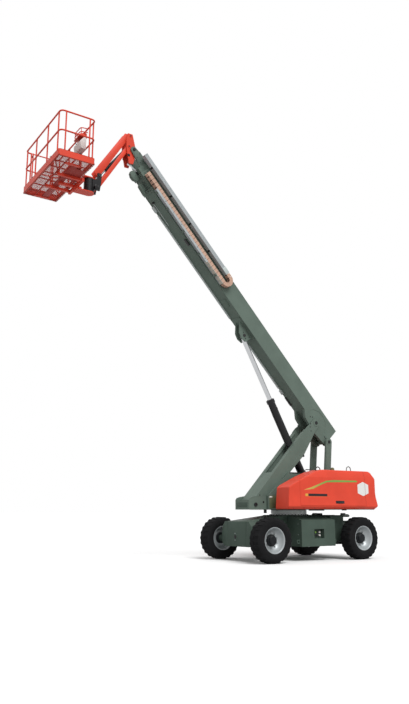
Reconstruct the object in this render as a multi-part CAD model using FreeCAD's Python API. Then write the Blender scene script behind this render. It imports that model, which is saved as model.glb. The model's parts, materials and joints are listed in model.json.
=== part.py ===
"""Telescopic boom lift on four wheels: one STEP file per sub-part.

Millimetres, +Z up, forward is -Y and the machine's left is +X.  The origin is on
the ground under the slewing axis.
"""
import FreeCAD, Part
import math
import os
from FreeCAD import Vector as V

X_AXIS, Y_AXIS, Z_AXIS = V(1, 0, 0), V(0, 1, 0), V(0, 0, 1)

# ---- clearances ----
FIT = 0.3            # bearing faces, pads and pins
RUN = 6.0            # pieces that pass each other

# ---- wheels and axles ----
TYRE_R = 535.0
TYRE_W = 370.0
RIM_R = 292.0
WHEELBASE = 2960.0
TRACK = 2140.0
KINGPIN_TRACK = 1500.0
KINGPIN_R = 45.0
AXLE_Z = TYRE_R
BEAD = 30.0                   # rim's edge inside the tyre's side
SIDEWALL_R = 360.0            # where the tyre's side starts to stand upright
CASING_R = 510.0              # tyre without its lugs
SHOULDER = 45.0               # casing's bevelled edge
LUGS_A_SIDE = 24              # each as long round the tread as the gap after it
LUG_FROM_MIDDLE = 8.0
FORK_HALF_Y = 95.0
FORK_T = 40.0
KNUCKLE_Z = AXLE_Z + 100.0    # middle of the steering knuckle
KNUCKLE_H = 380.0
SPINDLE_R = 80.0
TIE_ROD_Y = -WHEELBASE / 2 + 275.0
TIE_ROD_Z = AXLE_Z - 62.0
TIE_ROD_R = 16.0

# ---- chassis ----
BOX_HALF_X = 1000.0
BOX_FRONT, BOX_REAR = -440.0, 690.0
BOX_BOTTOM, BOX_TOP = 354.0, 995.0
DECK_TOP = 1120.0
BEAM_HALF_X = 430.0
AXLE_BOX_HALF_X = 480.0
AXLE_BOX_HALF_Y = 225.0
AXLE_BOX_BOTTOM, AXLE_BOX_TOP = 357.0, 965.0
EYE_T, EYE_INSET, EYE_HOLE_R = 25.0, 70.0, 28.0
RECESS_DEPTH = 120.0          # for the connectors in the left side
RECESS_Y, RECESS_Z = (-20.0, 310.0), (546.0, 776.0)

# ---- slewing ring and turntable ----
RING_R = 470.0
RING_BORE_R = 370.0
RING_H = 118.0
DECK_Z = 1255.0
DECK_T = 35.0
NOSE_FRONT = -1530.0
NOSE_SEAM = -950.0
NOSE_HALF_X = 288.0
NOSE_PLATE_T = 25.0
NOSE_CAP_Z = 1495.0
DECK_FRONT, DECK_REAR = -890.0, 2060.0
SIDE_IN_X = 336.0
SIDE_PLATE_T = 25.0
TAIL_Y = 1700.0
NOSE_TOP_Z, SIDE_TOP_Z = 1620.0, 2210.0
SIDE_RISE_Y = -240.0                     # where the side plates reach their full height
SIDE_DROP_Y = 1100.0                     # and where they fall away again

# ---- cowls ----
COWL_IN_X, COWL_OUT_X = 620.0, 1150.0
COWL_WALL = 8.0
COWL_FRONT, COWL_REAR = -950.0, 2170.0
COWL_TOP = 2262.0
RIGHT_COWL_SHORTER = 470.0    # the right cowl's front sits further back
SILL_Z = 1330.0
HOOD_FRONT, HOOD_REAR = -560.0, 1720.0
HOOD_HINGE_X = 760.0
HOOD_GAP = 6.0
COWL_SIDE_X = 1125.0          # the cowl's side above its flared sill
FLARE_Z, CREASE_Z = 1590.0, 2060.0       # upper edges of the flare and of the upright side
CREASE_DROP = V(0, -1040, -376)          # the crease falls along this line at its front end
CREASE_FRONT_Y = 380.0
SHOULDER_IN = 65.0            # how far the side leans in between the crease and the top
SKIRT_IN = 60.0               # how far the skirt below the sill tapers in
HINGE_R, HINGE_LEN = 12.0, 90.0

# ---- boom ----
BOOM_ANGLE = 47.0
ROOT = V(0, 1626, 3412)       # rear top corner of the base section
BOOM_W, BOOM_H = 440.0, 470.0
BOOM_WALL = 8.0
SECTION_GAP = 10.0
BASE_LEN = 8400.0
MID_TAIL, MID_TIP = 900.0, BASE_LEN + 430.0
FLY_TAIL, FLY_TIP = 1300.0, MID_TIP + 140.0
HEEL_DEPTH = 665.0            # lowest edge of the root weldment below the boom's top
HEEL_IN_X = 136.0             # the heel's two sides leave room for the lift cylinder
COLLAR_LEN, COLLAR_T, MID_COLLAR_T = 115.0, 14.0, 20.0
PAD_INSET = 80.0              # wear pads keep clear of the section's corners

# ---- pins of the lifting linkage: Y and Z, or distance and depth on the boom ----
PIN_A = V(0, -1320, 1380)     # lower arm on the turntable's nose
PIN_B = (656.0, 441.0)        # lower arm on the boom
PIN_D = (18.0, 500.0)         # rear links on the boom
PIN_C = V(0, 1100, 1600)      # rear links on the turntable
PIN_E = V(0, 840, 1600)       # lift cylinder on the turntable
PIN_F = (3850.0, 630.0)       # lift cylinder on the boom
PIN_R = 50.0
ARM_IN_X, ARM_OUT_X = 160.0, 256.0
ARM_TOP = 125.0               # top edge above the line between the arm's pins
ARM_BELLY = 290.0             # deepest point below that line
ARM_END_R = 128.0
ARM_PLATE_LEN = 1050.0        # plate between the legs, short of the lift cylinder
ARM_RECESS_R = 420.0          # room for the boom's heel between the arm's legs
LINK_IN_X, LINK_OUT_X = 268.0, 320.0
LINK_W = 210.0

# ---- lift cylinder ----
LIFT_BARREL_R = 100.0
LIFT_BARREL_LEN = 2900.0
LIFT_ROD_R = 62.0
LIFT_ROD_IN = 1120.0          # rod that stays in the barrel at rest
LIFT_EYE_HALF_X, LIFT_EYE_PIN_R = 60.0, 35.0
LIFT_LUG_IN_X, LIFT_LUG_T = 70.0, 30.0
TRUNNION_IN_X, TRUNNION_T = 110.0, 40.0

# ---- cable carrier on the boom's left side ----
CHAIN_IN_X, CHAIN_OUT_X = 250.0, 370.0
CHAIN_TOP, CHAIN_DEPTH = 60.0, 435.0     # outer edges of the loop below the boom's top
CHAIN_H = 110.0
CHAIN_FROM_TIP = 3250.0       # the loop's lower end, measured from the base section's mouth
TRAY_T = 6.0
TRAY_LIP = 62.0
DUCT_H, DUCT_WALL = 110.0, 4.0

# ---- jib ----
PIN_K = (FLY_TIP + 434.0, 190.0)         # levelling knuckle on the fly section
KNUCKLE_TO_U1 = V(0, -90.5, 377)         # from that pin to the upper jib arm's rear pin
JIB_ARM = V(0, -808, -1334)              # from a jib arm's rear pin to its front pin
JIB_SIDE = V(0, -33, -303)               # from an upper pin to the lower one
JIB_PIN_R = 22.0
LEVEL_FROM_TIP, LEVEL_DEPTH = 620.0, 260.0
LEVEL_EYE = V(0, -55, -340)              # from the knuckle's pin to the levelling rod's eye
LEVEL_BARREL_R = 38.0
LEVEL_BARREL_LEN = 600.0
LEVEL_ROD_LEN = 640.0
LEVEL_ROD_R = 22.0
NOTCH_LEN, NOTCH_HALF_X = 290.0, 70.0    # in the fly's lower wall, for the levelling cylinder
JIB_BARREL_R, JIB_BARREL_LEN = 40.0, 980.0
JIB_ROD_R = 24.0
KNUCKLE_PIN_R = 30.0
JIB_ARM_DEPTH = 105.0
JIB_UPPER_RISE = 140.0         # top edge of the upper arm's bars above their pins
JIB_ARM_IN_X, JIB_ARM_OUT_X = 62.0, 96.0
CHEEK_IN_X, CHEEK_OUT_X = 102.0, 136.0

# ---- platform ----
SWIVEL_AHEAD = 215.0          # swivel's axis in front of the upper jib arm's front pin
SWIVEL_R = 128.0
SWIVEL_H = 350.0
SWIVEL_DROP = 463.0           # its lower face below that pin
PLATE_T = 25.0
PLATFORM_HALF_X = 1160.0
PLATFORM_AHEAD = 368.0        # rear edge in front of the swivel's axis
PLATFORM_DEPTH = 875.0
FLOOR_ABOVE_SWIVEL = 117.0
FLOOR_T = 40.0
TOE_H = 120.0
RAIL_H = 1138.0               # top of the rail above the floor's underside
RAIL_R = 19.0
RAIL_BEND_R = 90.0
POST_R = 17.0
GATE_POST_INSET = 130.0


# ---------------------------------------------------------------- helpers
def box(x0, x1, y0, y1, z0, z1):
    return Part.makeBox(x1 - x0, y1 - y0, z1 - z0, V(x0, y0, z0))


def rod(start, end, radius):
    return Part.makeCylinder(radius, (end - start).Length, start, end - start)


def pin_x(at, radius, x0, x1):
    return Part.makeCylinder(radius, x1 - x0, V(x0, at.y, at.z), X_AXIS)


def plate_x(points, x0, x1):
    """A flat plate with a YZ outline, from x0 to x1."""
    corners = [V(x0, y, z) for y, z in points]
    return Part.Face(Part.makePolygon(corners + corners[:1])).extrude(V(x1 - x0, 0, 0))


def mirrored(shape):
    return shape.mirror(V(0, 0, 0), X_AXIS)


def both_sides(shape):
    return Part.makeCompound([shape, mirrored(shape)])


def fuse(*shapes):
    whole = shapes[0].multiFuse(list(shapes[1:])) if len(shapes) > 1 else shapes[0]
    return whole.removeSplitter()


def bar(start, end, depth, x0, x1):
    """A flat bar with round ends between two pin centres."""
    along = end - start
    across = X_AXIS.cross(along).normalize() * (depth / 2)
    corners = [start + across, end + across, end - across, start - across]
    middle = plate_x([(p.y, p.z) for p in corners], x0, x1)
    return fuse(middle, pin_x(start, depth / 2, x0, x1), pin_x(end, depth / 2, x0, x1))


def raised(shape):
    """From the level boom frame, with the root corner at the origin, into place."""
    placed = shape.copy()
    placed.rotate(V(0, 0, 0), X_AXIS, -BOOM_ANGLE)
    placed.translate(ROOT)
    return placed


def level(distance, depth):
    """A point on the level boom: distance towards the tip, depth below the top."""
    return V(0, -distance, -depth)


def on_boom(distance, depth):
    angle = math.radians(BOOM_ANGLE)
    forward = V(0, -math.cos(angle), math.sin(angle))
    up = V(0, math.sin(angle), math.cos(angle))
    return ROOT + forward * distance - up * depth


def around(centre, offsets):
    """YZ points measured from a pin."""
    return [(centre.y + y, centre.z + z) for y, z in offsets]


def hollow_section(distance0, distance1, width, height, top, wall):
    outer = box(-width / 2, width / 2, -distance1, -distance0, -top - height, -top)
    inner = box(-width / 2 + wall, width / 2 - wall, -distance1 - 1, -distance0 + 1,
                -top - height + wall, -top - wall)
    return outer.cut(inner)


def export(node, shape):
    Part.makeCompound([shape]).exportStep("parts/%s.step" % node)


# ---------------------------------------------------------------- wheels
def tyre(x, y):
    """Wheel centre plane at x: flat segments that carry a lug on the outer or the inner half by turns."""
    outer = tyre_segment()
    pitch = 180.0 / LUGS_A_SIDE
    inner = outer.mirror(V(0, 0, 0), Z_AXIS)
    inner.rotate(V(0, 0, 0), Z_AXIS, pitch)
    segments = []
    for number in range(LUGS_A_SIDE):
        for segment in (outer, inner):
            turned = segment.copy()
            turned.rotate(V(0, 0, 0), Z_AXIS, 2 * number * pitch)
            segments.append(turned)
    return on_axle(fuse(*segments), x, y)


def tyre_segment():
    """One segment of the tyre on +X, its lug on the half towards +Z."""
    bead, half = TYRE_W / 2 - BEAD, TYRE_W / 2
    outline = [(RIM_R, -bead), (RIM_R, bead), (SIDEWALL_R, half - 5), (TYRE_R - 60, half), (TYRE_R, half - 35),
               (TYRE_R, LUG_FROM_MIDDLE), (CASING_R, LUG_FROM_MIDDLE), (CASING_R, SHOULDER - half),
               (SIDEWALL_R, 5 - half)]
    reach = TYRE_R * math.tan(math.pi / (2 * LUGS_A_SIDE))
    corners = [V(radius, -reach, z) for radius, z in outline]
    block = Part.Face(Part.makePolygon(corners + corners[:1])).extrude(V(0, 2 * reach, 0))
    slope = math.tan(math.pi / (2 * LUGS_A_SIDE)) * 2 * TYRE_R
    wedge = [V(0, 0, -half - 1), V(2 * TYRE_R, slope, -half - 1), V(2 * TYRE_R, -slope, -half - 1)]
    return block.common(Part.Face(Part.makePolygon(wedge + wedge[:1])).extrude(V(0, 0, TYRE_W + 2)))


def on_axle(shape, x, y):
    """From a wheel frame with its axis on Z, outside up, to the axle's height."""
    placed = shape.copy()
    placed.rotate(V(0, 0, 0), Y_AXIS, 90 if x > 0 else -90)
    placed.translate(V(x, y, AXLE_Z))
    return placed


def rim(x, y):
    half = TYRE_W / 2
    band = Part.makeCylinder(RIM_R, TYRE_W - 2 * BEAD, V(0, 0, -half + BEAD))
    well = Part.makeCylinder(RIM_R - 22, TYRE_W, V(0, 0, -half))
    disc = Part.makeCylinder(RIM_R - 10, 22, V(0, 0, 10))
    hub = Part.makeCylinder(150, 120, V(0, 0, 10))
    cap = Part.makeCylinder(95, 40, V(0, 0, 130))
    socket = Part.makeCylinder(135, 15, V(0, 0, -5))
    return on_axle(fuse(band.cut(well), disc, hub, cap, socket), x, y)


# ---------------------------------------------------------------- chassis
def chassis_frame():
    centre = box(-BOX_HALF_X, BOX_HALF_X, BOX_FRONT, BOX_REAR, BOX_BOTTOM, BOX_TOP)
    slope = 250.0
    deck = Part.makeWedge(
        -BOX_HALF_X, BOX_TOP, BOX_FRONT, BOX_FRONT, -BOX_HALF_X + 2 * slope,
        BOX_HALF_X, DECK_TOP, BOX_REAR, BOX_REAR, BOX_HALF_X - 2 * slope)
    deck.rotate(V(0, 0, 0), X_AXIS, 90)
    deck = deck.mirror(V(0, 0, 0), Y_AXIS)
    beam_y = -WHEELBASE / 2 + AXLE_BOX_HALF_Y
    front = plate_x([(beam_y, AXLE_BOX_BOTTOM + 220), (BOX_FRONT, AXLE_BOX_BOTTOM + 220),
                     (BOX_FRONT, DECK_TOP - 2), (beam_y, AXLE_BOX_TOP + 35)], -BEAM_HALF_X, BEAM_HALF_X)
    rear = box(-BEAM_HALF_X, BEAM_HALF_X, BOX_REAR, WHEELBASE / 2 - AXLE_BOX_HALF_Y,
               BOX_BOTTOM + 60, DECK_TOP - 30)
    recess = box(BOX_HALF_X - RECESS_DEPTH, BOX_HALF_X, *RECESS_Y, *RECESS_Z)
    lugs = [tie_down_lug(y, side) for y, side in ((BOX_FRONT, -1), (BOX_REAR, 1))]
    centre = centre.cut(recess)
    return fuse(centre, deck, front, rear, *lugs, *[mirrored(lug) for lug in lugs])


def tie_down_lug(y, side):
    """An eye plate on the end of the centre box, its hole across the machine."""
    x0, x1 = BOX_HALF_X - EYE_INSET - EYE_T, BOX_HALF_X - EYE_INSET
    centre = V(0, y + side * 50, BOX_BOTTOM + 120)
    y0, y1 = sorted((y, centre.y))
    plate = fuse(box(x0, x1, y0, y1, centre.z - 50, centre.z + 50), pin_x(centre, 50, x0, x1))
    return plate.cut(pin_x(centre, EYE_HOLE_R, x0, x1))


def axle(y):
    return box(-AXLE_BOX_HALF_X, AXLE_BOX_HALF_X, y - AXLE_BOX_HALF_Y, y + AXLE_BOX_HALF_Y,
               AXLE_BOX_BOTTOM, AXLE_BOX_TOP)


def front_axle():
    y = -WHEELBASE / 2
    end = fork_end(y)
    return fuse(axle(y), end, mirrored(end))


def fork_end(y):
    """The fork around the left steering knuckle, with its kingpin."""
    x = KINGPIN_TRACK / 2
    root, half_h = x - 115, KNUCKLE_H / 2
    shapes = [box(AXLE_BOX_HALF_X, root, y - FORK_HALF_Y, y + FORK_HALF_Y,
                  KNUCKLE_Z - half_h - FORK_T, KNUCKLE_Z + half_h + FORK_T)]
    for z, cap_z in ((KNUCKLE_Z - half_h - FORK_T, KNUCKLE_Z - half_h - FORK_T - 35),
                     (KNUCKLE_Z + half_h, KNUCKLE_Z + half_h + FORK_T)):
        shapes.append(box(root, x, y - FORK_HALF_Y, y + FORK_HALF_Y, z, z + FORK_T))
        shapes.append(Part.makeCylinder(FORK_HALF_Y, FORK_T, V(x, y, z)))
        shapes.append(Part.makeCylinder(KINGPIN_R + 20, 35, V(x, y, cap_z)))
    shapes.append(Part.makeCylinder(KINGPIN_R, KNUCKLE_H, V(x, y, KNUCKLE_Z - half_h)))
    return fuse(*shapes)


def knuckle():
    """Left front steering knuckle: housing on the kingpin, spindle and steering arm."""
    y, x = -WHEELBASE / 2, KINGPIN_TRACK / 2
    low = KNUCKLE_Z - KNUCKLE_H / 2 + FIT
    housing = Part.makeCylinder(SPINDLE_R + 5, KNUCKLE_H - 2 * FIT, V(x, y, low))
    spindle = rod(V(x, y, AXLE_Z), V(TRACK / 2 - 5 - FIT, y, AXLE_Z), SPINDLE_R)
    arm = box(x - 25, x + 25, y, TIE_ROD_Y + 15, AXLE_Z - 30, AXLE_Z + 30)
    bore = Part.makeCylinder(KINGPIN_R + FIT, KNUCKLE_H, V(x, y, low))
    return fuse(housing, spindle, arm).cut(bore)


def steer_cylinder():
    half = 230.0
    barrel = Part.makeCylinder(38, 2 * half, V(-half, TIE_ROD_Y, TIE_ROD_Z), X_AXIS)
    foot = box(-160, 160, -WHEELBASE / 2 + AXLE_BOX_HALF_Y, TIE_ROD_Y, TIE_ROD_Z - 20, TIE_ROD_Z + 20)
    bore = Part.makeCylinder(TIE_ROD_R + FIT, 2 * half, V(-half, TIE_ROD_Y, TIE_ROD_Z), X_AXIS)
    return fuse(barrel, foot).cut(bore)


def steer_rod():
    x = KINGPIN_TRACK / 2
    stem = Part.makeCylinder(TIE_ROD_R, 2 * x, V(-x, TIE_ROD_Y, TIE_ROD_Z), X_AXIS)
    eyes = [Part.makeCylinder(28, 40, V(side * x, TIE_ROD_Y, TIE_ROD_Z - 16)) for side in (-1, 1)]
    return fuse(stem, *eyes)


def rear_axle():
    y = WHEELBASE / 2
    shaft = rod(V(AXLE_BOX_HALF_X, y, AXLE_Z), V(TRACK / 2 - 5 - FIT, y, AXLE_Z), SPINDLE_R)
    flange = rod(V(AXLE_BOX_HALF_X, y, AXLE_Z), V(AXLE_BOX_HALF_X + 280, y, AXLE_Z), 130)
    return fuse(axle(y), shaft, flange, mirrored(shaft), mirrored(flange))


# ---------------------------------------------------------------- turntable
def slew_ring():
    ring = Part.makeCylinder(RING_R, RING_H, V(0, 0, DECK_TOP))
    return ring.cut(Part.makeCylinder(RING_BORE_R, RING_H, V(0, 0, DECK_TOP)))


def turntable_frame():
    deck_x = COWL_OUT_X - SKIRT_IN - COWL_WALL
    front_y = DECK_FRONT + RIGHT_COWL_SHORTER
    deck = box(-deck_x, deck_x, front_y, DECK_REAR, DECK_Z, DECK_Z + DECK_T)
    apron = box(-SIDE_IN_X - SIDE_PLATE_T - 20, deck_x, DECK_FRONT, front_y, DECK_Z, DECK_Z + DECK_T - 5)
    ring = Part.makeCylinder(RING_R - 15, DECK_Z - DECK_TOP - RING_H - FIT,
                             V(0, 0, DECK_TOP + RING_H + FIT))
    side = plate_x([(NOSE_SEAM, DECK_Z), (TAIL_Y, DECK_Z), (TAIL_Y, NOSE_TOP_Z), (SIDE_DROP_Y, SIDE_TOP_Z),
                    (SIDE_RISE_Y, SIDE_TOP_Z), (NOSE_SEAM, NOSE_TOP_Z)], SIDE_IN_X, SIDE_IN_X + SIDE_PLATE_T)
    cap = box(-NOSE_HALF_X, NOSE_HALF_X, NOSE_FRONT, NOSE_FRONT + NOSE_PLATE_T, DECK_Z, NOSE_CAP_Z)
    nose = plate_x(nose_outline(), NOSE_HALF_X - NOSE_PLATE_T, NOSE_HALF_X)
    web = box(NOSE_HALF_X - NOSE_PLATE_T, SIDE_IN_X + SIDE_PLATE_T, NOSE_SEAM - 20, NOSE_SEAM,
              DECK_Z, NOSE_TOP_Z - 20)
    floor = box(-NOSE_HALF_X, NOSE_HALF_X, NOSE_FRONT + 10, DECK_FRONT, DECK_Z, DECK_Z + 12)
    pin_a = pin_x(PIN_A, PIN_R, -NOSE_HALF_X - 15, NOSE_HALF_X + 15)
    boss = pin_x(PIN_C, 70, LINK_OUT_X + RUN, SIDE_IN_X)
    trunnion = plate_x([(PIN_E.y - 110, DECK_Z), (PIN_E.y + 110, DECK_Z),
                        (PIN_E.y + 90, PIN_E.z + 60),
                        (PIN_E.y - 90, PIN_E.z + 60)], TRUNNION_IN_X, TRUNNION_IN_X + TRUNNION_T)
    pin_e = pin_x(PIN_E, PIN_R, -TRUNNION_IN_X - TRUNNION_T, TRUNNION_IN_X + TRUNNION_T)
    pieces = [deck, apron, ring, floor, cap, pin_a, pin_e]
    for piece in (side, nose, web, boss, trunnion):
        pieces += [piece, mirrored(piece)]
    return fuse(*pieces)


def nose_outline():
    return [(NOSE_FRONT, DECK_Z), (NOSE_SEAM, DECK_Z), (NOSE_SEAM, NOSE_TOP_Z),
            (NOSE_FRONT + 330, NOSE_TOP_Z - 20), (NOSE_FRONT + 130, NOSE_TOP_Z - 48),
            (NOSE_FRONT + 35, NOSE_TOP_Z - 78), (NOSE_FRONT, NOSE_CAP_Z)]


def counterweight():
    return box(-COWL_IN_X + 30, COWL_IN_X - 30, TAIL_Y + RUN, COWL_REAR - 60, DECK_Z + DECK_T, 2150)


def engine_block():
    return box(-1060, -660, 150, 1150, DECK_Z + DECK_T, 1960)


# ---------------------------------------------------------------- cowls
def cowl_outline(shorter, inset):
    """YZ outline of a cowl whose front sits further back by 'shorter'."""
    front, top = COWL_FRONT + shorter + inset, COWL_TOP - inset
    return [(front + 5, DECK_Z), (front, SILL_Z), (front + 50, 1800 - inset / 2),
            (front + 150, 1865 - inset), (front + 650, 2087 - inset), (front + 970, 2205 - inset),
            (front + 1230, top), (1930 - inset / 2, top), (2000 - inset, top - 27),
            (2115 - inset, CREASE_Z), (2110 - inset, FLARE_Z + 110), (2125 - inset, FLARE_Z - 30),
            (COWL_REAR - inset, SILL_Z + 20), (COWL_REAR - 100 - inset, DECK_Z)]


def cowl_section(inset):
    """XZ outline of the left cowl."""
    return [(COWL_IN_X + inset, DECK_Z), (COWL_OUT_X - SKIRT_IN - inset, DECK_Z),
            (COWL_OUT_X - inset, SILL_Z), (COWL_OUT_X - inset, SILL_Z + 20),
            (COWL_SIDE_X - inset, FLARE_Z), (COWL_SIDE_X - inset, CREASE_Z),
            (COWL_SIDE_X - SHOULDER_IN - inset, COWL_TOP - inset), (COWL_IN_X + inset, COWL_TOP - inset)]


def cowl_body(shorter, inset):
    lengthways = plate_x(cowl_outline(shorter, inset), 0, COWL_OUT_X + 50)
    corners = [V(x, -2000, z) for x, z in cowl_section(inset)]
    across = Part.Face(Part.makePolygon(corners + corners[:1])).extrude(V(0, 5000, 0))
    bend = V(COWL_SIDE_X - inset, CREASE_FRONT_Y + shorter / 2, CREASE_Z)
    lean = V(-SHOULDER_IN, 0, COWL_TOP - CREASE_Z)
    normal = CREASE_DROP.cross(lean)
    normal = normal * (math.copysign(1, normal.x) / normal.Length)
    facet = Part.makeBox(8000, 8000, 2000, V(-4000, -4000, 0))
    facet.Placement = FreeCAD.Placement(bend, FreeCAD.Rotation(Z_AXIS, normal)).multiply(facet.Placement)
    return lengthways.common(across).cut(facet)


def cowl_shell(shorter):
    """Open below, with a wall of even thickness."""
    below = box(COWL_IN_X + COWL_WALL, COWL_OUT_X - SKIRT_IN - COWL_WALL, COWL_FRONT + shorter + COWL_WALL + 5,
                COWL_REAR - 100 - COWL_WALL, DECK_Z - 1, SILL_Z)
    seat = box(0, COWL_IN_X + COWL_WALL + 1, DECK_FRONT - 10, DECK_REAR, 0, DECK_Z + DECK_T)
    return cowl_body(shorter, 0).cut(cowl_body(shorter, COWL_WALL)).cut(below).cut(seat)


def hood_space(shorter, gap):
    return box(HOOD_HINGE_X - gap, COWL_OUT_X + 50, HOOD_FRONT + shorter - gap, HOOD_REAR + gap,
               SILL_Z + 22 - gap, COWL_TOP + 100)


def hinge_places(shorter):
    return [HOOD_FRONT + shorter + 540, HOOD_REAR - 420]


def hinge_half(y, side):
    """A barrel on the hinge line and its leaf, towards +X or -X."""
    top = COWL_TOP + 4
    barrel = Part.makeCylinder(HINGE_R, HINGE_LEN, V(HOOD_HINGE_X, y, top), Y_AXIS)
    x0, x1 = sorted((HOOD_HINGE_X, HOOD_HINGE_X + side * 60))
    return fuse(barrel, box(x0, x1, y, y + HINGE_LEN, COWL_TOP - 35, top))


def cowl(shorter):
    shell = cowl_shell(shorter).cut(hood_space(shorter, HOOD_GAP / 2))
    shell = shell.cut(hinge_space(shorter, HINGE_LEN + FIT))
    return fuse(shell, *[hinge_half(y, -1) for y in hinge_places(shorter)])


def hinge_space(shorter, offset):
    """Room around the other half's barrels."""
    reach = HINGE_R + RUN
    spaces = [box(HOOD_HINGE_X - reach, HOOD_HINGE_X + reach, y + offset - FIT, y + offset + HINGE_LEN + FIT,
                  COWL_TOP - 100, COWL_TOP + 50) for y in hinge_places(shorter)]
    return Part.makeCompound(spaces)


def hood(shorter):
    panel = cowl_shell(shorter).common(hood_space(shorter, -HOOD_GAP / 2)).cut(hinge_space(shorter, 0))
    handle = box(COWL_SIDE_X - 10, COWL_OUT_X + 10, 720, 840, 1405, 1435)
    hinges = [hinge_half(y + HINGE_LEN + FIT, 1) for y in hinge_places(shorter)]
    return fuse(panel, handle, *hinges)


# ---------------------------------------------------------------- lifting linkage
def lower_arm():
    """Forked arm: two legs beside the boom's heel and the lift cylinder, one floor near the nose."""
    b = on_boom(*PIN_B)
    span = b - PIN_A
    along = V(span).normalize()
    up = X_AXIS.cross(along)
    outline = [(0, 105), (0.68, ARM_TOP + 15), (1, ARM_END_R), (1, -ARM_END_R), (0.93, -140),
               (0.68, -ARM_BELLY), (0.29, -235), (0.02, -105)]
    points = [PIN_A + span * share + up * offset for share, offset in outline]
    leg = plate_x([(p.y, p.z) for p in points], ARM_IN_X, ARM_OUT_X)
    leg = fuse(leg, pin_x(PIN_A, 105, ARM_IN_X, ARM_OUT_X), pin_x(b, ARM_END_R, ARM_IN_X, ARM_OUT_X))
    leg = leg.cut(pin_x(b, ARM_RECESS_R, ARM_IN_X - 1, BOOM_W / 2 + RUN))
    floor = bar(PIN_A, PIN_A + along * 620 - up * 40, 190, -ARM_IN_X, ARM_IN_X)
    ends = [PIN_A + along * d + up * h for d, h in ((0, 105), (ARM_PLATE_LEN, 118), (ARM_PLATE_LEN, 98), (0, 85))]
    front_plate = plate_x([(p.y, p.z) for p in ends], -ARM_IN_X, ARM_IN_X)
    whole = fuse(leg, mirrored(leg), floor, front_plate)
    whole = whole.cut(pin_x(PIN_A, PIN_R + FIT, -400, 400))
    return whole.cut(pin_x(b, PIN_R + FIT, -400, 400))


def rear_links():
    d = on_boom(*PIN_D)
    link = bar(PIN_C, d, LINK_W, LINK_IN_X, LINK_OUT_X)
    link = link.cut(pin_x(PIN_C, PIN_R + FIT, 0, 400))
    return both_sides(link.cut(pin_x(d, PIN_R + FIT, 0, 400)))


def lift_axis():
    return (on_boom(*PIN_F) - PIN_E).normalize()


def lift_barrel():
    along = lift_axis()
    start, end = PIN_E + along * 60, PIN_E + along * LIFT_BARREL_LEN
    tube = rod(start, end, LIFT_BARREL_R).cut(rod(start + along * 60, end, LIFT_ROD_R + FIT))
    eye = pin_x(PIN_E, 105, -90, 90)
    gland = rod(end - along * 90, end, LIFT_BARREL_R + 14)
    gland = gland.cut(rod(end - along * 90, end, LIFT_ROD_R + FIT))
    return fuse(tube, eye, gland).cut(pin_x(PIN_E, PIN_R + FIT, -200, 200))


def lift_rod():
    along = lift_axis()
    f = on_boom(*PIN_F)
    start = PIN_E + along * (LIFT_BARREL_LEN - LIFT_ROD_IN)
    stem = rod(start, f - along * 40, LIFT_ROD_R)
    eye = pin_x(f, 2 * LIFT_EYE_PIN_R + 2, -LIFT_EYE_HALF_X, LIFT_EYE_HALF_X)
    return fuse(stem, eye).cut(pin_x(f, LIFT_EYE_PIN_R + 1, -100, 100))


# ---------------------------------------------------------------- boom
STEP_IN = BOOM_WALL + SECTION_GAP
MID_W, MID_H = BOOM_W - 2 * STEP_IN, BOOM_H - 2 * STEP_IN
FLY_W, FLY_H = MID_W - 2 * STEP_IN, MID_H - 2 * STEP_IN
FLY_BOTTOM = 2 * STEP_IN + FLY_H


def boom_base():
    tube = hollow_section(0, BASE_LEN, BOOM_W, BOOM_H, 0, BOOM_WALL)
    pin_d_depth = -PIN_D[1]
    heel = [(0, -BOOM_H), (80, pin_d_depth), (40, pin_d_depth - 90), (-60, pin_d_depth - 110),
            (-504, -HEEL_DEPTH), (-1000, -HEEL_DEPTH + 55), (-1180, -BOOM_H)]
    cheek = plate_x(heel, HEEL_IN_X, BOOM_W / 2)
    pin_b = pin_x(level(*PIN_B), PIN_R, -ARM_OUT_X - 4, ARM_OUT_X + 4)
    pin_d = pin_x(level(*PIN_D), PIN_R, -LINK_OUT_X - 8, LINK_OUT_X + 8)
    pin_f = level(*PIN_F)
    lug_outline = [(pin_f.y + 200, -BOOM_H), (pin_f.y + 150, pin_f.z - 90), (pin_f.y, pin_f.z - 130),
                   (pin_f.y - 150, pin_f.z - 90), (pin_f.y - 390, -BOOM_H)]
    lug = plate_x(lug_outline, LIFT_LUG_IN_X, LIFT_LUG_IN_X + LIFT_LUG_T)
    stub = pin_x(pin_f, LIFT_EYE_PIN_R, LIFT_LUG_IN_X, LIFT_LUG_IN_X + LIFT_LUG_T + 10)
    collar = mouth_collar(BASE_LEN, BOOM_W, BOOM_H, 0, COLLAR_T)
    pads = section_pads(BASE_LEN - 200, BASE_LEN - 40, BOOM_W, BOOM_H, 0)
    return raised(fuse(tube, cheek, mirrored(cheek), pin_b, pin_d, lug, mirrored(lug),
                       stub, mirrored(stub), collar, *pads))


def mouth_collar(mouth, width, height, top, thickness):
    """A thicker band around a section's mouth."""
    half = width / 2
    outer = box(-half - thickness, half + thickness, -mouth, -mouth + COLLAR_LEN,
                -top - height - thickness, -top + thickness)
    return outer.cut(box(-half, half, -mouth, -mouth + COLLAR_LEN, -top - height, -top))


def section_pads(distance0, distance1, width, height, top):
    """Wear pads inside a section's mouth, reaching to the section that slides in it."""
    reach = SECTION_GAP - FIT
    w, h = width / 2 - BOOM_WALL, height - BOOM_WALL
    half = width / 2 - PAD_INSET
    low, high = -top - h + PAD_INSET, -top - PAD_INSET
    return [box(-half, half, -distance1, -distance0, -top - BOOM_WALL - reach, -top - BOOM_WALL),
            box(-half, half, -distance1, -distance0, -top - h, -top - h + reach),
            box(w - reach, w, -distance1, -distance0, low, high),
            box(-w, -w + reach, -distance1, -distance0, low, high)]


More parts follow.
